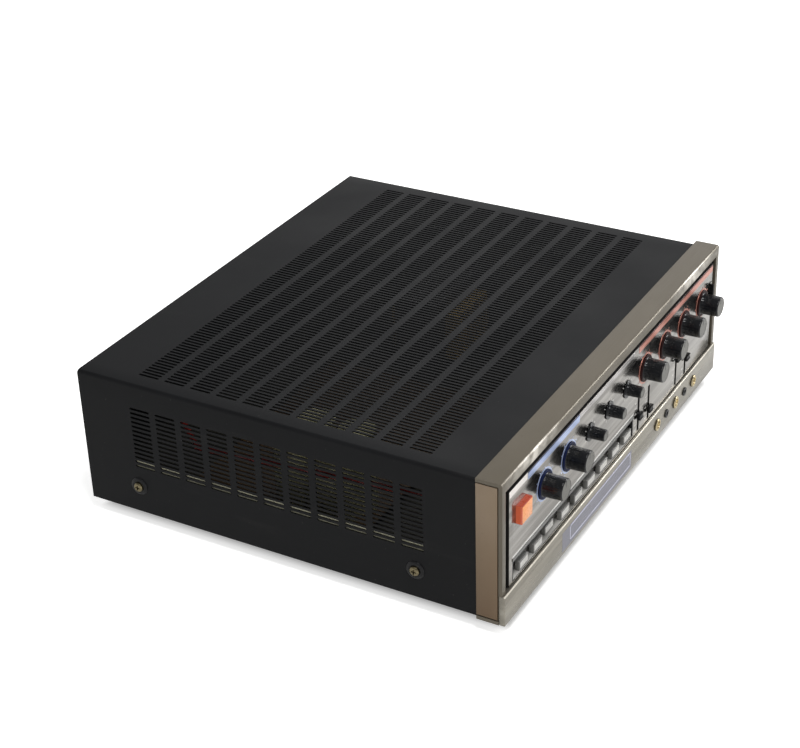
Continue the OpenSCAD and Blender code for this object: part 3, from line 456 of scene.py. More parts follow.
# Give the faces that are new since the known ones a finish
def paintNew(bm, known, material):
    made = [f for f in bm.faces if f not in known]
    for face in made:
        face.material_index = material
    return made


def bevelEdges(bm, edges, width, steps, clamp=False):
    bmesh.ops.bevel(bm, geom=edges, offset=width, offset_type="OFFSET", segments=steps, profile=0.5,
                    affect="EDGES", material=-1, clamp_overlap=clamp)


def addBlock(bm, low, high, edge=0.0, material=0):
    low, high = Vector(low), Vector(high)
    known = set(bm.faces)
    verts = bmesh.ops.create_cube(bm, size=1)["verts"]
    bmesh.ops.scale(bm, vec=high - low, verts=verts)
    bmesh.ops.translate(bm, vec=(low + high) / 2, verts=verts)
    if edge:
        bevelEdges(bm, list({e for v in verts for e in v.link_edges}), edge, 2)
    return paintNew(bm, known, material)


def fromMm(outline):
    return [(h * mm, r * mm) for h, r in outline]


# Turned form: the outline gives pairs of height along the axis and radius
def addTurned(bm, outline, centre, axis, steps=48, material=0):
    axis = Vector(axis)
    side = Vector((0, 0, 1)) if abs(axis.z) < 0.5 else Vector((1, 0, 0))
    known = set(bm.faces)
    verts = [bm.verts.new(Vector(centre) + axis * h + side * r) for h, r in outline]
    edges = [bm.edges.new(pair) for pair in zip(verts, verts[1:])]
    bmesh.ops.spin(bm, geom=verts + edges, cent=centre, axis=axis, dvec=(0, 0, 0), angle=2 * math.pi,
                   steps=steps, use_merge=True)
    fresh = {v for f in bm.faces if f not in known for v in f.verts}
    bmesh.ops.remove_doubles(bm, verts=list(fresh), dist=tiny)
    made = paintNew(bm, known, material)
    bmesh.ops.recalc_face_normals(bm, faces=made)
    return made


# Move a point in for a flute or tooth round an axis along Y; depth in millimetres
def cutFlute(vert, centre, count, depth):
    around = Vector((vert.co.x - centre.x, vert.co.z - centre.z))
    cut = depth * mm * (0.5 - 0.5 * math.cos(count * math.atan2(around.x, around.y)))
    around *= 1 - cut / around.length
    vert.co.x, vert.co.z = centre.x + around.x, centre.z + around.y


# Pan head with a cross recess, its seat at the place given and its crown along the axis
panHead = {  # shares of the head's radius and height
    "arm": 0.52,
    "armHalf": 0.13,
    "flat": 0.66,
    "crown": ((1.3, 0.18), (1.14, 0.27), (1.01, 0.55)),  # growth and drop, ring by ring
    "recess": (0.8, 0.6),  # taper and depth
}


def extrudeLoop(bm, loop, grow, drop):
    geom = bmesh.ops.extrude_edge_only(bm, edges=loop)["geom"]
    verts = [g for g in geom if isinstance(g, bmesh.types.BMVert)]
    bmesh.ops.scale(bm, vec=(grow, grow, 1), verts=verts)
    bmesh.ops.translate(bm, vec=(0, 0, -drop), verts=verts)
    return [g for g in geom if isinstance(g, bmesh.types.BMEdge) and all(v in verts for v in g.verts)]


def addPanHead(bm, place, axis, radius, height):
    arm, half = radius * panHead["arm"], radius * panHead["armHalf"]
    quarter = ((half, arm), (half, half), (arm, half))
    corners = [(x * s, y * t) for s, t in ((1, 1), (1, -1), (-1, -1), (-1, 1))
               for x, y in (quarter if s * t > 0 else quarter[::-1])]
    known = set(bm.faces)
    knownVerts = set(bm.verts)
    cross = [bm.verts.new((x, y, height)) for x, y in corners]
    recess = [bm.edges.new((a, b)) for a, b in zip(cross, cross[1:] + cross[:1])]
    crown = bmesh.ops.create_circle(bm, segments=24, radius=radius * panHead["flat"])["verts"]
    bmesh.ops.translate(bm, vec=(0, 0, height), verts=crown)
    rim = list({e for v in crown for e in v.link_edges})
    bmesh.ops.bridge_loops(bm, edges=recess + rim)
    for grow, drop in panHead["crown"]:
        rim = extrudeLoop(bm, rim, grow, height * drop)
    taper, depth = panHead["recess"]
    floor = extrudeLoop(bm, recess, taper, height * depth)
    for loop in (floor, rim):
        bmesh.ops.edgeloop_fill(bm, edges=loop)
    bmesh.ops.recalc_face_normals(bm, faces=paintNew(bm, known, 0))
    turn = Vector((0, 0, 1)).rotation_difference(Vector(axis)).to_matrix().to_4x4()
    verts = [v for v in bm.verts if v not in knownVerts]
    bmesh.ops.transform(bm, matrix=Matrix.Translation(place) @ turn, verts=verts)


# Copy of a CAD node's mesh, merged and with its flat faces joined
def copyNode(node):
    bm = bmesh.new()
    bm.from_mesh(frame["nodes"][node].data)
    bmesh.ops.remove_doubles(bm, verts=bm.verts, dist=2 * tiny)
    bmesh.ops.dissolve_limit(bm, angle_limit=math.radians(0.4), verts=bm.verts, edges=bm.edges)
    return bm


def sharpEdges(bm, degrees):
    return [e for e in bm.edges if len(e.link_faces) == 2 and e.calc_face_angle(0) > math.radians(degrees)]


# Round a copy's long sharp edges; width and shortest edge in millimetres
def roundEdges(bm, width, steps=2, shortest=4.0, chosen=None):
    edges = [e for e in sharpEdges(bm, 40)
             if e.calc_length() > shortest * mm and (chosen is None or chosen(e))]
    bevelEdges(bm, edges, width * mm, steps, clamp=True)


# Boxes of a node's separate solids, in order of place
def solidsOf(node):
    bm = copyNode(node)
    waiting = set(bm.verts)
    boxes = []
    while waiting:
        stack = [waiting.pop()]
        found = []
        while stack:
            vert = stack.pop()
            found.append(vert.co.copy())
            near = [e.other_vert(vert) for e in vert.link_edges]
            fresh = [v for v in near if v in waiting]
            waiting.difference_update(fresh)
            stack += fresh
        boxes.append((Vector(map(min, zip(*found))), Vector(map(max, zip(*found)))))
    bm.free()
    return sorted(boxes, key=lambda box: tuple(round(c, 5) for c in box[0]))


# Places that several pieces share
jointAt = {j["child"]: Vector(j["pos_m"]) for j in frame["joints"] if j["type"] == "hinge"}
mounts = frame["record"]["mounts"]
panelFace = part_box("button_channel")[0].y
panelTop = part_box("control_panel")[1].z
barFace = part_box("lower_bar")[0].y
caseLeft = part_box("top_cover")[0].x
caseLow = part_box("top_cover")[0].z
blueKnobs = ("mic_1_knob", "mic_2_knob")
smallKnobs = ("echo_knob", "delay_knob", "repeat_knob")
redKnobs = ("music_knob", "bass_knob", "treble_knob", "balance_knob")
proud = 0.05 * mm  # what stands out from the panel by more is not part of its face


# Where a knob's axis meets the panel
def knobSpot(knob):
    return Vector((jointAt[knob].x, panelFace, jointAt[knob].z))


# Folded cover: one sheet, slotted all over its top and both sides; lengths in millimetres
cover = {
    "fold": 3.0,
    "foldSteps": 6,
    "sheet": 1.0,
    "rows": 11,
    "rowPitch": 23.8,
    "slotLength": 18.6,
    "rearMargin": 47.7,
    "topSlots": 97,
    "topPitch": 4.03,
    "topSlot": 2.2,
    "sideSlots": 14,
    "sidePitch": 4.0,
    "sideSlot": 2.0,
    "sideMargin": 21.0,  # from the top down to the first slot
}


def makeCover():
    low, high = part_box("top_cover")
    radius = cover["fold"] * mm
    rise = high.z - low.z - radius
    arc = radius * math.pi / 2
    flat = high.x - low.x - 2 * radius
    whole = 2 * (rise + arc) + flat

    def bend(u):
        if u > whole / 2:
            x, z = bend(whole - u)
            return low.x + high.x - x, z
        if u <= rise:
            return low.x, low.z + u
        if u < rise + arc:
            a = (u - rise) / radius
            return low.x + radius * (1 - math.cos(a)), high.z - radius * (1 - math.sin(a))
        return low.x + radius + (u - rise - arc), high.z

    # Stations along the section; a slot's three are marked with its middle and half width
    side = []
    for k in reversed(range(cover["sideSlots"])):
        drop = (cover["sideMargin"] + k * cover["sidePitch"] + cover["sideSlot"] / 2) * mm
        side.append((high.z - low.z - drop, cover["sideSlot"] * mm / 2))
    top = []
    for k in range(cover["topSlots"]):
        offset = (k - (cover["topSlots"] - 1) / 2) * cover["topPitch"] * mm
        top.append((whole / 2 + offset, cover["topSlot"] * mm / 2))
    slots = side + top + [(whole - u, half) for u, half in reversed(side)]
    stations = [(0, None)]
    for u, half in slots:
        stations += [(u - half, (u, half)), (u, (u, half)), (u + half, (u, half))]
    for start in (rise, rise + arc + flat):
        stations += [(start + arc * k / cover["foldSteps"], None) for k in range(cover["foldSteps"] + 1)]
    stations += [(whole, None)]
    stations.sort(key=lambda s: s[0])

    # Rows from front to rear: 1 and -1 mark a slot's rounded ends, 0 its straight part
    ends = cover["topSlot"] * mm / 2
    rows = [(low.y, None)]
    for k in reversed(range(cover["rows"])):
        far = high.y - (cover["rearMargin"] + k * cover["rowPitch"]) * mm
        near = far - cover["slotLength"] * mm
        rows += [(near, 1), (near + ends, 0), (far - ends, 0), (far, -1)]
    rows += [(high.y, None)]

    bm = bmesh.new()
    across, along = len(stations) - 1, len(rows) - 1
    bmesh.ops.create_grid(bm, x_segments=across, y_segments=along, size=1)
    cell = {}
    for vert in bm.verts:
        i = round((vert.co.x + 1) / 2 * across)
        j = round((vert.co.y + 1) / 2 * along)
        cell[vert] = (i, j)
    opened = []
    for face in bm.faces:
        i = min(cell[v][0] for v in face.verts)
        j = min(cell[v][1] for v in face.verts)
        inSlot = stations[i][1] is not None and stations[i][1] == stations[i + 1][1]
        if inSlot and rows[j][1] is not None and rows[j][1] != -1:
            opened.append(face)
    for vert, (i, j) in cell.items():
        u, slot = stations[i]
        v, end = rows[j]
        corner = slot is not None and u != slot[0] and end in (1, -1)
        if corner:  # round the slot's end
            u = slot[0] + math.copysign(slot[1] * math.sqrt(0.5), u - slot[0])
            v = v + end * ends * (1 - math.sqrt(0.5))
        x, z = bend(u)
        vert.co = (x, v, z)
    bmesh.ops.delete(bm, geom=opened, context="FACES")
    bmesh.ops.recalc_face_normals(bm, faces=bm.faces)
    if next(f for f in bm.faces if f.calc_center_median().z > high.z - 10 * tiny).normal.z < 0:
        bmesh.ops.reverse_faces(bm, faces=bm.faces)
    bmesh.ops.solidify(bm, geom=bm.faces[:], thickness=cover["sheet"] * mm)
    makePiece(bm, "slottedCover", ["coverPaint"], "case", ["top_cover"])


# A black sheet behind the right wall's slots: painted shade that keeps the inside dark there
slotShade = {"thick": 0.4, "overlap": 4.0, "lift": 0.5}


def makeSlotShade():
    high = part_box("top_cover")[1]
    wall = high.x - cover["sheet"] * mm
    rows = (cover["rows"] - 1) * cover["rowPitch"] + cover["slotLength"]
    rear, over = cover["rearMargin"], slotShade["overlap"]
    corner = (wall - slotShade["thick"] * mm, high.y - (rear + rows + over) * mm,
              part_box("bottom_chassis")[1].z + slotShade["lift"] * mm)
    bm = bmesh.new()
    addBlock(bm, corner, (wall, high.y - (rear - over) * mm, high.z - (cover["sideMargin"] - over) * mm))
    makePiece(bm, "slotShadeSheet", ["blackPlate"], "case")


makeCover()
makeSlotShade()
print("cover folded")


# Front frame, cheeks, lower bar and control panel, with softened edges
frontEdges = {"front_frame": 0.5, "cheek_plates": 0.25, "lower_bar": 0.9, "control_panel": 0.2}


# Which finish a face takes: the frame's front, the bar's upper edge (a painted highlight), the panel's rims and
# ridge
def onFront(face):
    return int(face.normal.y < -0.25)


def onEdge(face):
    return int(face.normal.z > 0.25 and face.normal.y < -0.1)


def onPanel(face):
    if face.calc_center_median().y < panelFace - proud:
        return 2
    return int(face.normal.y > -0.5)


def makeFront(node, name, materials, chosen):
    bm = copyNode(node)
    roundEdges(bm, frontEdges[node], 3)
    bm.normal_update()
    for face in bm.faces:
        face.material_index = chosen(face)
    makePiece(bm, name, materials, "case", [node])


makeFront("front_frame", "frontFrame", ["champagne", "wornEdgeAndPaintedHighlight"], onFront)
makeFront("cheek_plates", "cheekPlates", ["cheekMetal"], lambda face: 0)
makeFront("lower_bar", "lowerBar", ["barMetal", "barEdgePaintedHighlight"], onEdge)
makeFront("control_panel", "controlPanel", ["panelMetal", "blackPlate", "insetGrey"], onPanel)
print("front pieces rounded")


# Recess of the push buttons, its lower part lined in a light grey: partly the recess's grey, partly painted light
# on its floor
channel = {"lining": 11.6, "lip": 1.0}  # up from the recess's foot, and in from its rim


def makeChannel():
    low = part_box("button_channel")[0]
    bm = copyNode("button_channel")
    level = low.z + channel["lining"] * mm
    bmesh.ops.bisect_plane(bm, geom=bm.verts[:] + bm.edges[:] + bm.faces[:], plane_co=(0, 0, level),
                           plane_no=(0, 0, 1), dist=tiny)
    bm.normal_update()
    for face in bm.faces:
        middle = face.calc_center_median()
        inside = middle.y > low.y + channel["lip"] * mm and middle.z < level
        face.material_index = int(inside and (face.normal.y < -0.9 or face.normal.z > 0.9))
    makePiece(bm, "buttonChannel", ["blackPlastic", "liningGreyPaintedLight"], "case",
              ["button_channel"])


makeChannel()
print("button recess lined")


# Printed bands, rings and scales on the panel and the bar, and two painted lines: a painted shadow under the
# frame's lip and a painted highlight along the ridge; lengths across from the case's left
prints = {
    "lift": 0.12,
    "topGap": 0.25,
    # The dark line along a band's top is a painted shadow of the frame's lip
    "bandShadow": 1.0,  # dark line along the top of the blue and red bands
    "bands": (  # ink, its edge's ink, left, right and height
        ("whiteBand", None, 10.8, 40, 5.2),
        ("blueFoil", "navyPaintedShadow", 41, 130, 6.4),
        ("paleFoil", None, 130, 236, 4.2),
        ("redFoil", "darkRedPaintedShadow", 245, 409, 6.0),
    ),
    # A white line along the ridge's top edge: painted highlight
    "ridgeHighlight": (0.2, 1.8),  # over the recess, from and to above the ridge
    "ring": (11.8, 13.4),  # inner and outer radius
    "dots": (14.2, 15.4, 0.7),  # from, to and width
    "ticks": (8.4, 9.9, 0.5),
    "marks": 11,
    "sweep": 150,  # degrees to either side
    "scale": (4.6, 3.2, 0.45, 6),  # lines beside a slider: gap, width, thickness and number
    "field": (97, 231, 1.0, 18.4),  # on the bar: left, right, low and high, from the case's left and foot
    "outline": (111, 229, 4.2, 17.4),
    "outlineWidth": 0.9,
}
printInks = ["whiteBand", "blueFoil", "navyPaintedShadow", "paleFoil", "redFoil", "darkRedPaintedShadow", "whiteInk"]


def addPatch(bm, ink, x0, x1, z0, z1):
    lift = prints["lift"] * mm
    addBlock(bm, (x0, panelFace - lift, z0), (x1, panelFace, z1), material=printInks.index(ink))


# A fan of marks over a knob, each made upright and then turned into place
def addMarks(bm, spot, marks, ink):
    near, far, width = marks
    half = width * mm / 2
    for k in range(prints["marks"]):
        angle = math.radians((2 * k / (prints["marks"] - 1) - 1) * prints["sweep"])
        known = set(bm.verts)
        addPatch(bm, ink, spot.x - half, spot.x + half, spot.z + near * mm, spot.z + far * mm)
        verts = [v for v in bm.verts if v not in known]
        bmesh.ops.rotate(bm, cent=spot, matrix=Matrix.Rotation(angle, 3, "Y"), verts=verts)


def makePanelPrint():
    bm = bmesh.new()
    top = panelTop - prints["topGap"] * mm
    for ink, shadowInk, x0, x1, height in prints["bands"]:
        left, right = caseLeft + x0 * mm, caseLeft + x1 * mm
        edge = prints["bandShadow"] * mm if shadowInk else 0
        addPatch(bm, ink, left, right, top - height * mm, top - edge)
        # A darker ink along the band's top: painted shadow of the frame's lip
        if shadowInk:
            addPatch(bm, shadowInk, left, right, top - edge, top)
    # A white line along the ridge's top edge: painted highlight
    ridge = [v.co for v in frame["nodes"]["control_panel"].data.vertices if v.co.y < panelFace - proud]
    ridgeTop = max(v.z for v in ridge)
    near, far = prints["ridgeHighlight"]
    addPatch(bm, "whiteInk", min(v.x for v in ridge), max(v.x for v in ridge),
             ridgeTop + near * mm, ridgeTop + far * mm)
    inner, outer = prints["ring"]
    lift = prints["lift"]
    ring = fromMm([(0, inner), (lift, inner), (lift, outer), (0, outer), (0, inner)])
    for group, ink in ((blueKnobs, "blueFoil"), (redKnobs, "redFoil")):
        for knob in group:
            addTurned(bm, ring, knobSpot(knob), (0, -1, 0), material=printInks.index(ink))
            addMarks(bm, knobSpot(knob), prints["dots"], ink)
    for knob in smallKnobs:
        addMarks(bm, knobSpot(knob), prints["ticks"], "whiteInk")
    gap, width, thick, count = prints["scale"]
    for i in range(1, 5):
        joint = next(j for j in frame["joints"] if j["child"] == f"slider_{i}")
        low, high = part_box(f"slider_{i}")
        right = (low.x + high.x) / 2 - gap * mm
        start, end = joint["range_m"]
        for k in range(count):
            z = (low.z + high.z) / 2 + start + (end - start) * k / (count - 1)
            addPatch(bm, "whiteInk", right - width * mm, right, z - thick * mm / 2, z + thick * mm / 2)
    makePiece(bm, "panelPrint", printInks, "case")


def makeBarPrint():
    bm = bmesh.new()
    lift = prints["lift"] * mm
    x0, x1, z0, z1 = prints["outline"]
    w = prints["outlineWidth"]
    patches = [(prints["field"], lift / 2, 1)]
    for patch in ((x0, x1, z1 - w, z1), (x0, x1, z0, z0 + w), (x0, x0 + w, z0, z1), (x1 - w, x1, z0, z1)):
        patches.append((patch, lift, 0))
    for (left, right, low, high), height, material in patches:
        addBlock(bm, (caseLeft + left * mm, barFace - height, caseLow + low * mm),
                 (caseLeft + right * mm, barFace, caseLow + high * mm), material=material)
    makePiece(bm, "barPrint", ["lilacFoil", "slateFoil"], "case")


makePanelPrint()
makeBarPrint()
print("panel printed")


# Turned knobs with a skirt, a fluted grip and a metal end with a pointer line
bigKnob = {"skirt": 11.6, "skirtThick": 1.0, "grip": 9.0, "length": 17.0, "flutes": 36, "pointer": 0.9}
smallKnob = {"skirt": 7.5, "skirtThick": 0.6, "grip": 5.0, "length": 13.0, "flutes": 24, "pointer": 0.7}
anyKnob = {"gap": 0.4, "fluteDepth": 0.2, "bore": 3.2, "shaft": 3.0, "shaftDepth": 2.0, "rim": 1.25}


def makeKnob(node, form, skirtColour):
    centre = knobSpot(node) - Vector((0, anyKnob["gap"] * mm, 0))
    skirt, thick, grip, length = (form[k] for k in ("skirt", "skirtThick", "grip", "length"))
    edge = thick * 0.3
    faceEdge, faceFlat = grip - anyKnob["rim"], grip * 0.3
    outline = [(0, anyKnob["bore"]), (0, skirt - edge), (edge, skirt), (thick - edge, skirt),
               (thick, skirt - edge), (thick, grip + 0.4), (thick + 0.25, grip + 0.1), (thick + 0.7, grip),
               (length * 0.5, grip - 0.15), (length - 1.1, grip - 0.3), (length - 0.5, grip - 0.5),
               (length - 0.1, grip - 0.9), (length, grip - 1.1), (length - 0.12, faceEdge),
               (length - 0.15, faceFlat), (length - 0.12, 0)]
    bm = bmesh.new()
    for face in addTurned(bm, fromMm(outline), centre, (0, -1, 0), steps=form["flutes"] * 4):
        middle = face.calc_center_median() - centre
        out, around = -middle.y / mm, math.hypot(middle.x, middle.z) / mm
        if out < thick + 0.05 and around > grip + 0.3:
            face.material_index = 1
        elif out > length - 0.3 and around < grip - 1.2:
            face.material_index = 2
    for vert in bm.verts:
        away = (vert.co - centre) / mm
        if thick + 0.5 < -away.y < length - 0.7 and math.hypot(away.x, away.z) > 0.8 * grip:
            cutFlute(vert, centre, form["flutes"], anyKnob["fluteDepth"])
    half = form["pointer"] * mm / 2
    tip = centre.y - length * mm
    addBlock(bm, (centre.x - half, tip + 0.04 * mm, centre.z + faceFlat * mm),
             (centre.x + half, tip + 0.4 * mm, centre.z + faceEdge * mm), 0.03 * mm)
    shaft, inset = anyKnob["shaft"] * mm, anyKnob["shaftDepth"] * mm
    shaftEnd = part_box(node)[1].y - centre.y + inset
    addTurned(bm, [(0, 0), (0, shaft), (shaftEnd, shaft), (shaftEnd, 0)],
              centre - Vector((0, inset, 0)), (0, 1, 0), steps=24, material=3)
    makePiece(bm, node.replace("_knob", "Knob").replace("_", ""),
              ["knobPlastic", skirtColour, "knobFace", "canSteel"], node, [node])


for knobs, form, colour in ((blueKnobs, bigKnob, "navySkirt"), (redKnobs, bigKnob, "maroonSkirt"),
                            (smallKnobs, smallKnob, "knobPlastic")):
    for node in knobs:
        makeKnob(node, form, colour)
print("knobs turned:", len(blueKnobs + redKnobs + smallKnobs))


# Power button, push buttons and tone lever: rounded edge, how far back it goes, border of the front
caps = {"power": (0.5, 5, 0), "push": (0.6, 2, 0.8), "lever": (0.3, 3, 0)}


# Finishes of a cap: its sides, its front and its top, as many as are given; the power button's front is a lighter
# copy (painted light) and its top a darker one (painted shade)
def makeCap(node, name, materials, form):
    edge, depth, border = form
    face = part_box(node)[0].y
    bm = copyNode(node)
    roundEdges(bm, edge, 3, 2.0, lambda e: all(v.co.y < face + depth * mm for v in e.verts))
    bm.normal_update()
    front = [f for f in bm.faces if f.normal.y < -0.99 and f.calc_center_median().y < face + 10 * tiny]
    if border:
        bmesh.ops.inset_region(bm, faces=front, thickness=border * mm, depth=0)
    if len(materials) > 1:
        for f in front:
            f.material_index = 1
    if len(materials) > 2:
        for f in bm.faces:
            if f.normal.z > 0.5:
                f.material_index = 2
    makePiece(bm, name, materials, node, [node])


# The power button's front is painted light and its top painted shade
makeCap("power_button", "powerButton", ["orangePlastic", "orangeFacePaintedLight", "orangeTopPaintedShade"],
        caps["power"])
for i in range(1, 10):
    makeCap(f"push_button_{i}", f"pushButton{i}", ["greyPlastic", "palePlastic"], caps["push"])
makeCap("tone_lever", "toneLever", ["capPlastic"], caps["lever"])
bm = copyNode("tone_switch")
for face in bm.faces:
    face.material_index = int(face.calc_center_median().y > panelFace + proud or face.normal.y > -0.5)
makePiece(bm, "tonePlate", ["panelMetal", "blackPlastic"], "case", ["tone_switch"])


# Slider cap with a grip hollow and a raised line, on a flat steel lever
slider = {
    "depth": 3.2,
    "hollow": 0.6,
    "hollowCuts": 7,
    "edge": 0.35,
    "line": (0.6, 0.5, 0.1, 0.4),  # width, gap at its ends, rise and depth
    "lineEdge": 0.04,
    "lever": (1.6, 4.0, 0.2),  # width, height and how far it goes into the cap
    "leverEdge": 0.15,
}


def makeSlider(i):
    node = f"slider_{i}"
    low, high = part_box(node)
    midX, midZ = (low.x + high.x) / 2, (low.z + high.z) / 2
    backY = low.y + slider["depth"] * mm
    bm = bmesh.new()
    faces = addBlock(bm, low, (high.x, backY, high.z))
    front = [f for f in faces if f.normal.y < -0.9]
    cuts = [e for f in front for e in f.edges if abs(e.verts[0].co.z - e.verts[1].co.z) > tiny]
    bmesh.ops.subdivide_edges(bm, edges=cuts, cuts=slider["hollowCuts"], use_grid_fill=True)
    for vert in bm.verts:
        if vert.co.y < low.y + tiny:
            reach = (vert.co.z - midZ) / (high.z - low.z) * 2
            vert.co.y += slider["hollow"] * mm * max(0, math.cos(reach * math.pi / 2) - 0.05)
    bevelEdges(bm, sharpEdges(bm, 50), slider["edge"] * mm, 2)
    width, gap, rise, depth = (v * mm for v in slider["line"])
    deep = low.y + slider["hollow"] * mm
    addBlock(bm, (low.x + gap, deep - rise, midZ - width / 2), (high.x - gap, deep + depth, midZ + width / 2),
             slider["lineEdge"] * mm, material=1)
    width, height, inset = (v * mm for v in slider["lever"])
    addBlock(bm, (midX - width / 2, backY - inset, midZ - height / 2),
             (midX + width / 2, high.y, midZ + height / 2), slider["leverEdge"] * mm, material=2)
    makePiece(bm, f"sliderCap{i}", ["capPlastic", "knobPlastic", "canSteel"], node, [node])


for i in range(1, 5):
    makeSlider(i)
print("buttons and sliders made")


# Gold nuts and linings of the microphone sockets
nut = {"teeth": 24, "toothDepth": 0.18, "bore": 4.3, "shoulder": 0.7, "bevel": 0.4, "boreEdge": 0.2,
       "liningEdge": 0.15}


def makeMicSockets():
    low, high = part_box("mic_nuts")
    radius = (high.z - low.z) / 2
    thick = high.y - low.y
    bore, edge = nut["bore"] * mm, nut["boreEdge"] * mm
    outline = [(0, bore), (0, radius), (thick * nut["shoulder"], radius), (thick, radius - nut["bevel"] * mm),
               (thick, bore + edge), (thick - edge, bore), (0, bore)]
    bm = bmesh.new()
    for mount in mounts:
        if not mount["name"].startswith("mic_socket"):
            continue
        x, _, z = mount["pos_m"]
        centre = Vector((x, high.y, z))
        made = addTurned(bm, outline, centre, (0, -1, 0), steps=nut["teeth"] * 4)
        for vert in {v for f in made for v in f.verts}:
            if math.hypot(vert.co.x - x, vert.co.z - z) > radius - nut["bevel"] * mm / 2:
                cutFlute(vert, centre, nut["teeth"], nut["toothDepth"])
    # The nuts' sides take the darker gold: painted shade
    bm.normal_update()
    for face in bm.faces:
        face.material_index = int(face.normal.y > -0.3)
    makePiece(bm, "micNuts", ["goldPlate", "goldPaintedShade"], "case", ["mic_nuts"])
    bm = copyNode("mic_sockets")
    roundEdges(bm, nut["liningEdge"], 2, 0.1, lambda e: all(v.co.y < barFace for v in e.verts))
    for face in bm.faces:
        face.material_index = int(min(v.co.y for v in face.verts) > barFace)
    makePiece(bm, "micBarrels", ["goldPlate", "blackPlastic"], "case", ["mic_sockets"])


makeMicSockets()


# Screws: cover screws in cup washers, rear, foot and speaker screws
screws = {
    "cup": ((0, 2.3), (0, 7.5), (0.35, 7.5), (0.8, 7.2), (1.3, 6.2), (1.5, 5.4), (1.45, 4.9), (1.1, 4.4),
            (0.9, 2.3)),  # height and radius
    "seat": 0.9,
    "sideHead": (4.0, 2.5),  # radius and height
    "sideLength": 8.0,
    "rearHead": (3.0, 2.2),
    "speakerHead": (3.6, 2.0),
    "shank": 1.5,
    "overlap": 0.2,
}


def addScrew(bm, seat, axis, head, length):
    radius, height = head
    addPanHead(bm, seat, axis, radius * mm, height * mm)
    shank, start = screws["shank"] * mm, -screws["overlap"] * mm
    addTurned(bm, [(start, 0), (start, shank), (length, shank), (length, 0)], seat, -Vector(axis), steps=16)


def makeScrews():
    heads = bmesh.new()
    cups = bmesh.new()
    for low, high in solidsOf("cup_washers"):
        side = -1 if low.x < 0 else 1
        wall = Vector((high.x if side < 0 else low.x, (low.y + high.y) / 2, (low.z + high.z) / 2))
        addTurned(cups, fromMm(screws["cup"]), wall, (side, 0, 0))
        seat = wall + Vector((side * screws["seat"] * mm, 0, 0))
        addScrew(heads, seat, (side, 0, 0), screws["sideHead"], screws["sideLength"] * mm)
    makePiece(heads, "coverScrews", ["screwBrass"], "case", ["side_screws"])
    makePiece(cups, "cupWashers", ["washerBlack"], "case", ["cup_washers"])
    for node, name, material, slot, head in (
            ("chassis_screws", "chassisScrews", "screwSteel", "screw_steel", screws["rearHead"]),
            ("speaker_screws", "speakerScrews", "screwBrass", "brass_plate", screws["speakerHead"])):
        height = head[1] * mm
        bm = bmesh.new()
        for low, high in solidsOf(node):
            middle, size = (low + high) / 2, high - low
            if size.z > size.y and node == "chassis_screws":  # a foot's screw, from below
                seat, axis, length = Vector((middle.x, middle.y, low.z + height)), (0, 0, -1), size.z
            else:
                seat, axis, length = Vector((middle.x, high.y - height, middle.z)), (0, 1, 0), size.y
            addScrew(bm, seat, axis, head, length - height)
        makePiece(bm, name, [material], "case", [node])


makeScrews()
print("sockets and screws made")


# Line sockets at the rear: a nickel shell, a coloured centre and a coloured collar
lineSocket = {"tail": 7.0, "reach": 10.0, "shell": 4.15, "wall": 0.6, "bore": 1.65, "boreDepth": 9.0,
              "collar": ((0, 4.15), (0, 6.0), (1.4, 6.0), (1.85, 5.7), (2.0, 5.2), (2.0, 4.15))}


def makeLineSockets():
    tail, reach, shell, bore = (lineSocket[k] for k in ("tail", "reach", "shell", "bore"))
    inner, floor = shell - lineSocket["wall"], reach - lineSocket["boreDepth"]
    outline = [(-tail, 0), (-tail, shell), (reach - 0.4, shell), (reach, shell - 0.25), (reach, inner + 0.1),
               (reach - 0.6, inner), (reach - 0.6, bore + 0.25), (reach - 0.85, bore), (floor, bore),
               (floor, 0)]
    spots = [Vector(m["pos_m"]) for m in mounts if m["name"].startswith("line_socket")]
    lowest = min(s.z for s in spots)
    bm = bmesh.new()
    for spot in spots:
        ink = 1 if spot.z < lowest + 1 * mm else 2
        seat = spot - Vector((0, reach * mm, 0))
        for face in addTurned(bm, fromMm(outline), seat, (0, 1, 0), steps=40):
            middle = face.calc_center_median() - seat
            if middle.y > 0 and math.hypot(middle.x, middle.z) < (inner - 0.05) * mm:
                face.material_index = ink
        addTurned(bm, fromMm(lineSocket["collar"]), seat, (0, 1, 0), steps=40, material=ink)
    makePiece(bm, "lineSockets", ["nickel", "redCollar", "whiteCollar"], "case",
              ["line_sockets"])


makeLineSockets()

# Other outer pieces, rounded: name, width, finish and slot
softened = {
    "rear_panel": ("rearPanel", 0.3, "blackPlate", "black_plate"),
    "speaker_block": ("speakerBlock", 0.4, "blackPlastic", "black_plastic"),
    "cord_bush": ("cordBush", 0.4, "blackPlastic", "black_plastic"),
    "fuse_holder": ("fuseHolder", 0.4, "blackPlastic", "black_plastic"),
    "feet": ("feet", 0.5, "footRubber", "foot_rubber"),
    "mini_sockets": ("miniSockets", 0.2, "blackPlastic", "black_plastic"),
}
for node, (name, width, material, slot) in softened.items():
    bm = copyNode(node)
    roundEdges(bm, width, 2, 0.1)
    makePiece(bm, name, [material], "case", [node])
print("rear and feet rounded")


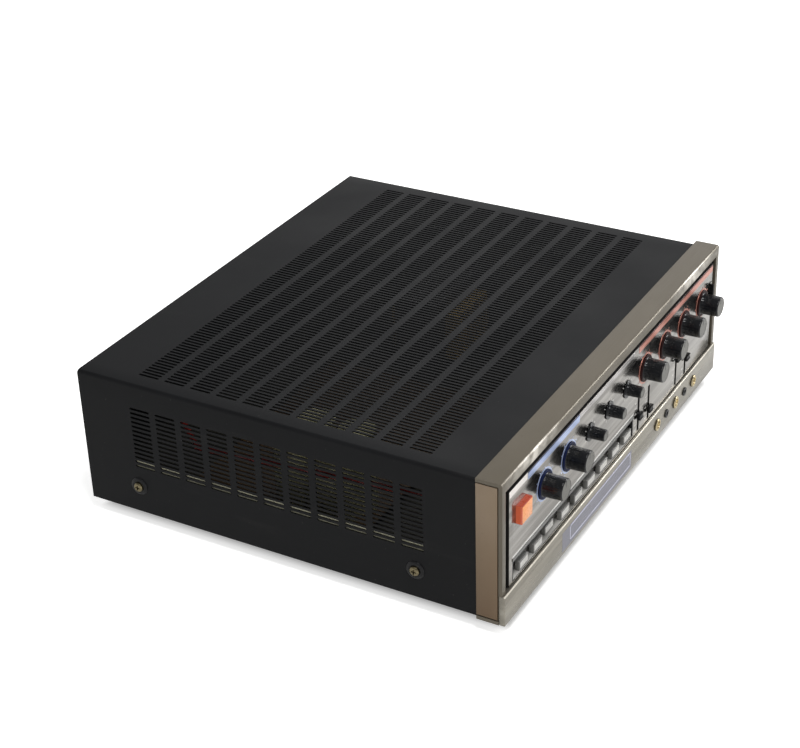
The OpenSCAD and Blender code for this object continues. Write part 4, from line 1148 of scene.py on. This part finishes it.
# Finishes of the CAD nodes that stay as they are
# The board posts take the darker gold: painted shade inside the case
nodeFinish = {
    "bottom_chassis": "zincSteel", "inner_front_plate": "blackPlate", "power_switch": "blackPlastic",
    "rotary_controls": "canSteel", "push_switches": "blackPlastic", "slide_controls": "blackPlastic",
    "control_board": "circuitBoard", "main_board": "circuitBoard", "board_posts": "goldPaintedShade",
    "heat_sink": "sinkMetal", "power_transistors": "blackPlastic", "filter_capacitors": "capSleeve",
    "transformer_core": "coreSteel", "transformer_coil": "coilTape", "mains_wire": "redWire",
}
for node, material in nodeFinish.items():
    slots = frame["nodes"][node].data.materials
    slots.clear()
    slots.append(finish[material])
print("nodes finished:", len(nodeFinish))


# Floor, world and lamps; the world is white at the horizon and dim overhead
stageLook = {
    "floorColour": (0.82, 0.82, 0.81),
    "floorRough": 0.9,
    "floorHalf": 12,  # metres
    "floorGlow": 0.68,
    "floorMirror": 0.1,  # glow that shiny surfaces see
    "underside": (25, 15),  # mm inside the case's outline where the glow ends, and how softly
    "worldFill": 0.38,
    "ceiling": 0.28,
    "skyline": (0.15, 0.42),  # heights where the horizon ends and the ceiling starts
    "lamps": {  # place, size and power
        "key": ((1.65, -1.10, 0.95), 0.8, 22),
        "top": ((-0.55, -0.65, 2.0), 0.6, 26),
        "window": ((1.25, 0.45, 1.10), 0.9, 2.5),
    },
}


# Whether a ray comes from the camera, and whether from a shiny or clear surface
def rayKinds(tree):
    path = addNode(tree, "LightPath", {}).outputs
    mirrored = addMath(tree, "MAXIMUM", path["Is Glossy Ray"], path["Is Transmission Ray"])
    return path["Is Camera Ray"], mirrored


def makeFloor():
    material, tree, shader, place = startFinish("paleFloor")
    direct, mirrored = rayKinds(tree)
    seen = addMath(tree, "MULTIPLY", direct, stageLook["floorGlow"])
    shown = addMath(tree, "MULTIPLY", mirrored, stageLook["floorMirror"])
    glow = addMath(tree, "MAXIMUM", seen, shown)
    split = splitPlace(tree, place)
    inset, soft = stageLook["underside"]
    away = []
    for axis in (0, 1):
        middle = (cadBox[0][axis] + cadBox[1][axis]) / 2
        half = (cadBox[1][axis] - cadBox[0][axis]) / 2 - inset * mm
        offset = addMath(tree, "ABSOLUTE", addMath(tree, "SUBTRACT", split[axis], middle))
        away.append(addMath(tree, "SUBTRACT", offset, half))
    outside = spread(tree, addMath(tree, "MAXIMUM", *away), 0, 1, 0, soft * mm)
    fill(tree, shader, {
        "Base Color": (*stageLook["floorColour"], 1),
        "Roughness": stageLook["floorRough"],
        "Specular IOR Level": 0,
        "Emission Color": (1, 1, 1, 1),
        "Emission Strength": addMath(tree, "MULTIPLY", glow, outside),
    })
    bm = bmesh.new()
    bmesh.ops.create_grid(bm, x_segments=1, y_segments=1, size=stageLook["floorHalf"])
    mesh = bpy.data.meshes.new("floor")
    bm.to_mesh(mesh)
    bm.free()
    mesh.materials.append(material)
    floor = bpy.data.objects.new("floor", mesh)
    bpy.context.scene.collection.objects.link(floor)


def makeWorld():
    world = bpy.data.worlds.new("studio")
    world.use_nodes = True
    bpy.context.scene.world = world
    tree = world.node_tree
    up = splitPlace(tree, addNode(tree, "TexCoord", {}).outputs["Generated"])["Z"]
    shown = spread(tree, up, 1.0, stageLook["ceiling"], *stageLook["skyline"])
    seen = addMath(tree, "MAXIMUM", *rayKinds(tree))
    level = addNode(tree, "Mix", {"Factor": seen, "A": stageLook["worldFill"], "B": shown})
    fill(tree, tree.nodes["Background"], {"Color": (1, 1, 1, 1), "Strength": level.outputs["Result"]})


def makeLamps():
    for name, (place, size, power) in stageLook["lamps"].items():
        data = bpy.data.lights.new(name + "Lamp", "AREA")
        data.size = size
        data.energy = power
        lamp = bpy.data.objects.new(name + "Lamp", data)
        lamp.location = place
        lamp.rotation_euler = (-Vector(place)).to_track_quat("-Z", "Y").to_euler()
        lamp.visible_camera = False
        bpy.context.scene.collection.objects.link(lamp)


makeFloor()
makeWorld()
makeLamps()
bpy.context.scene.view_settings.view_transform = "Standard"
print("stage lit")
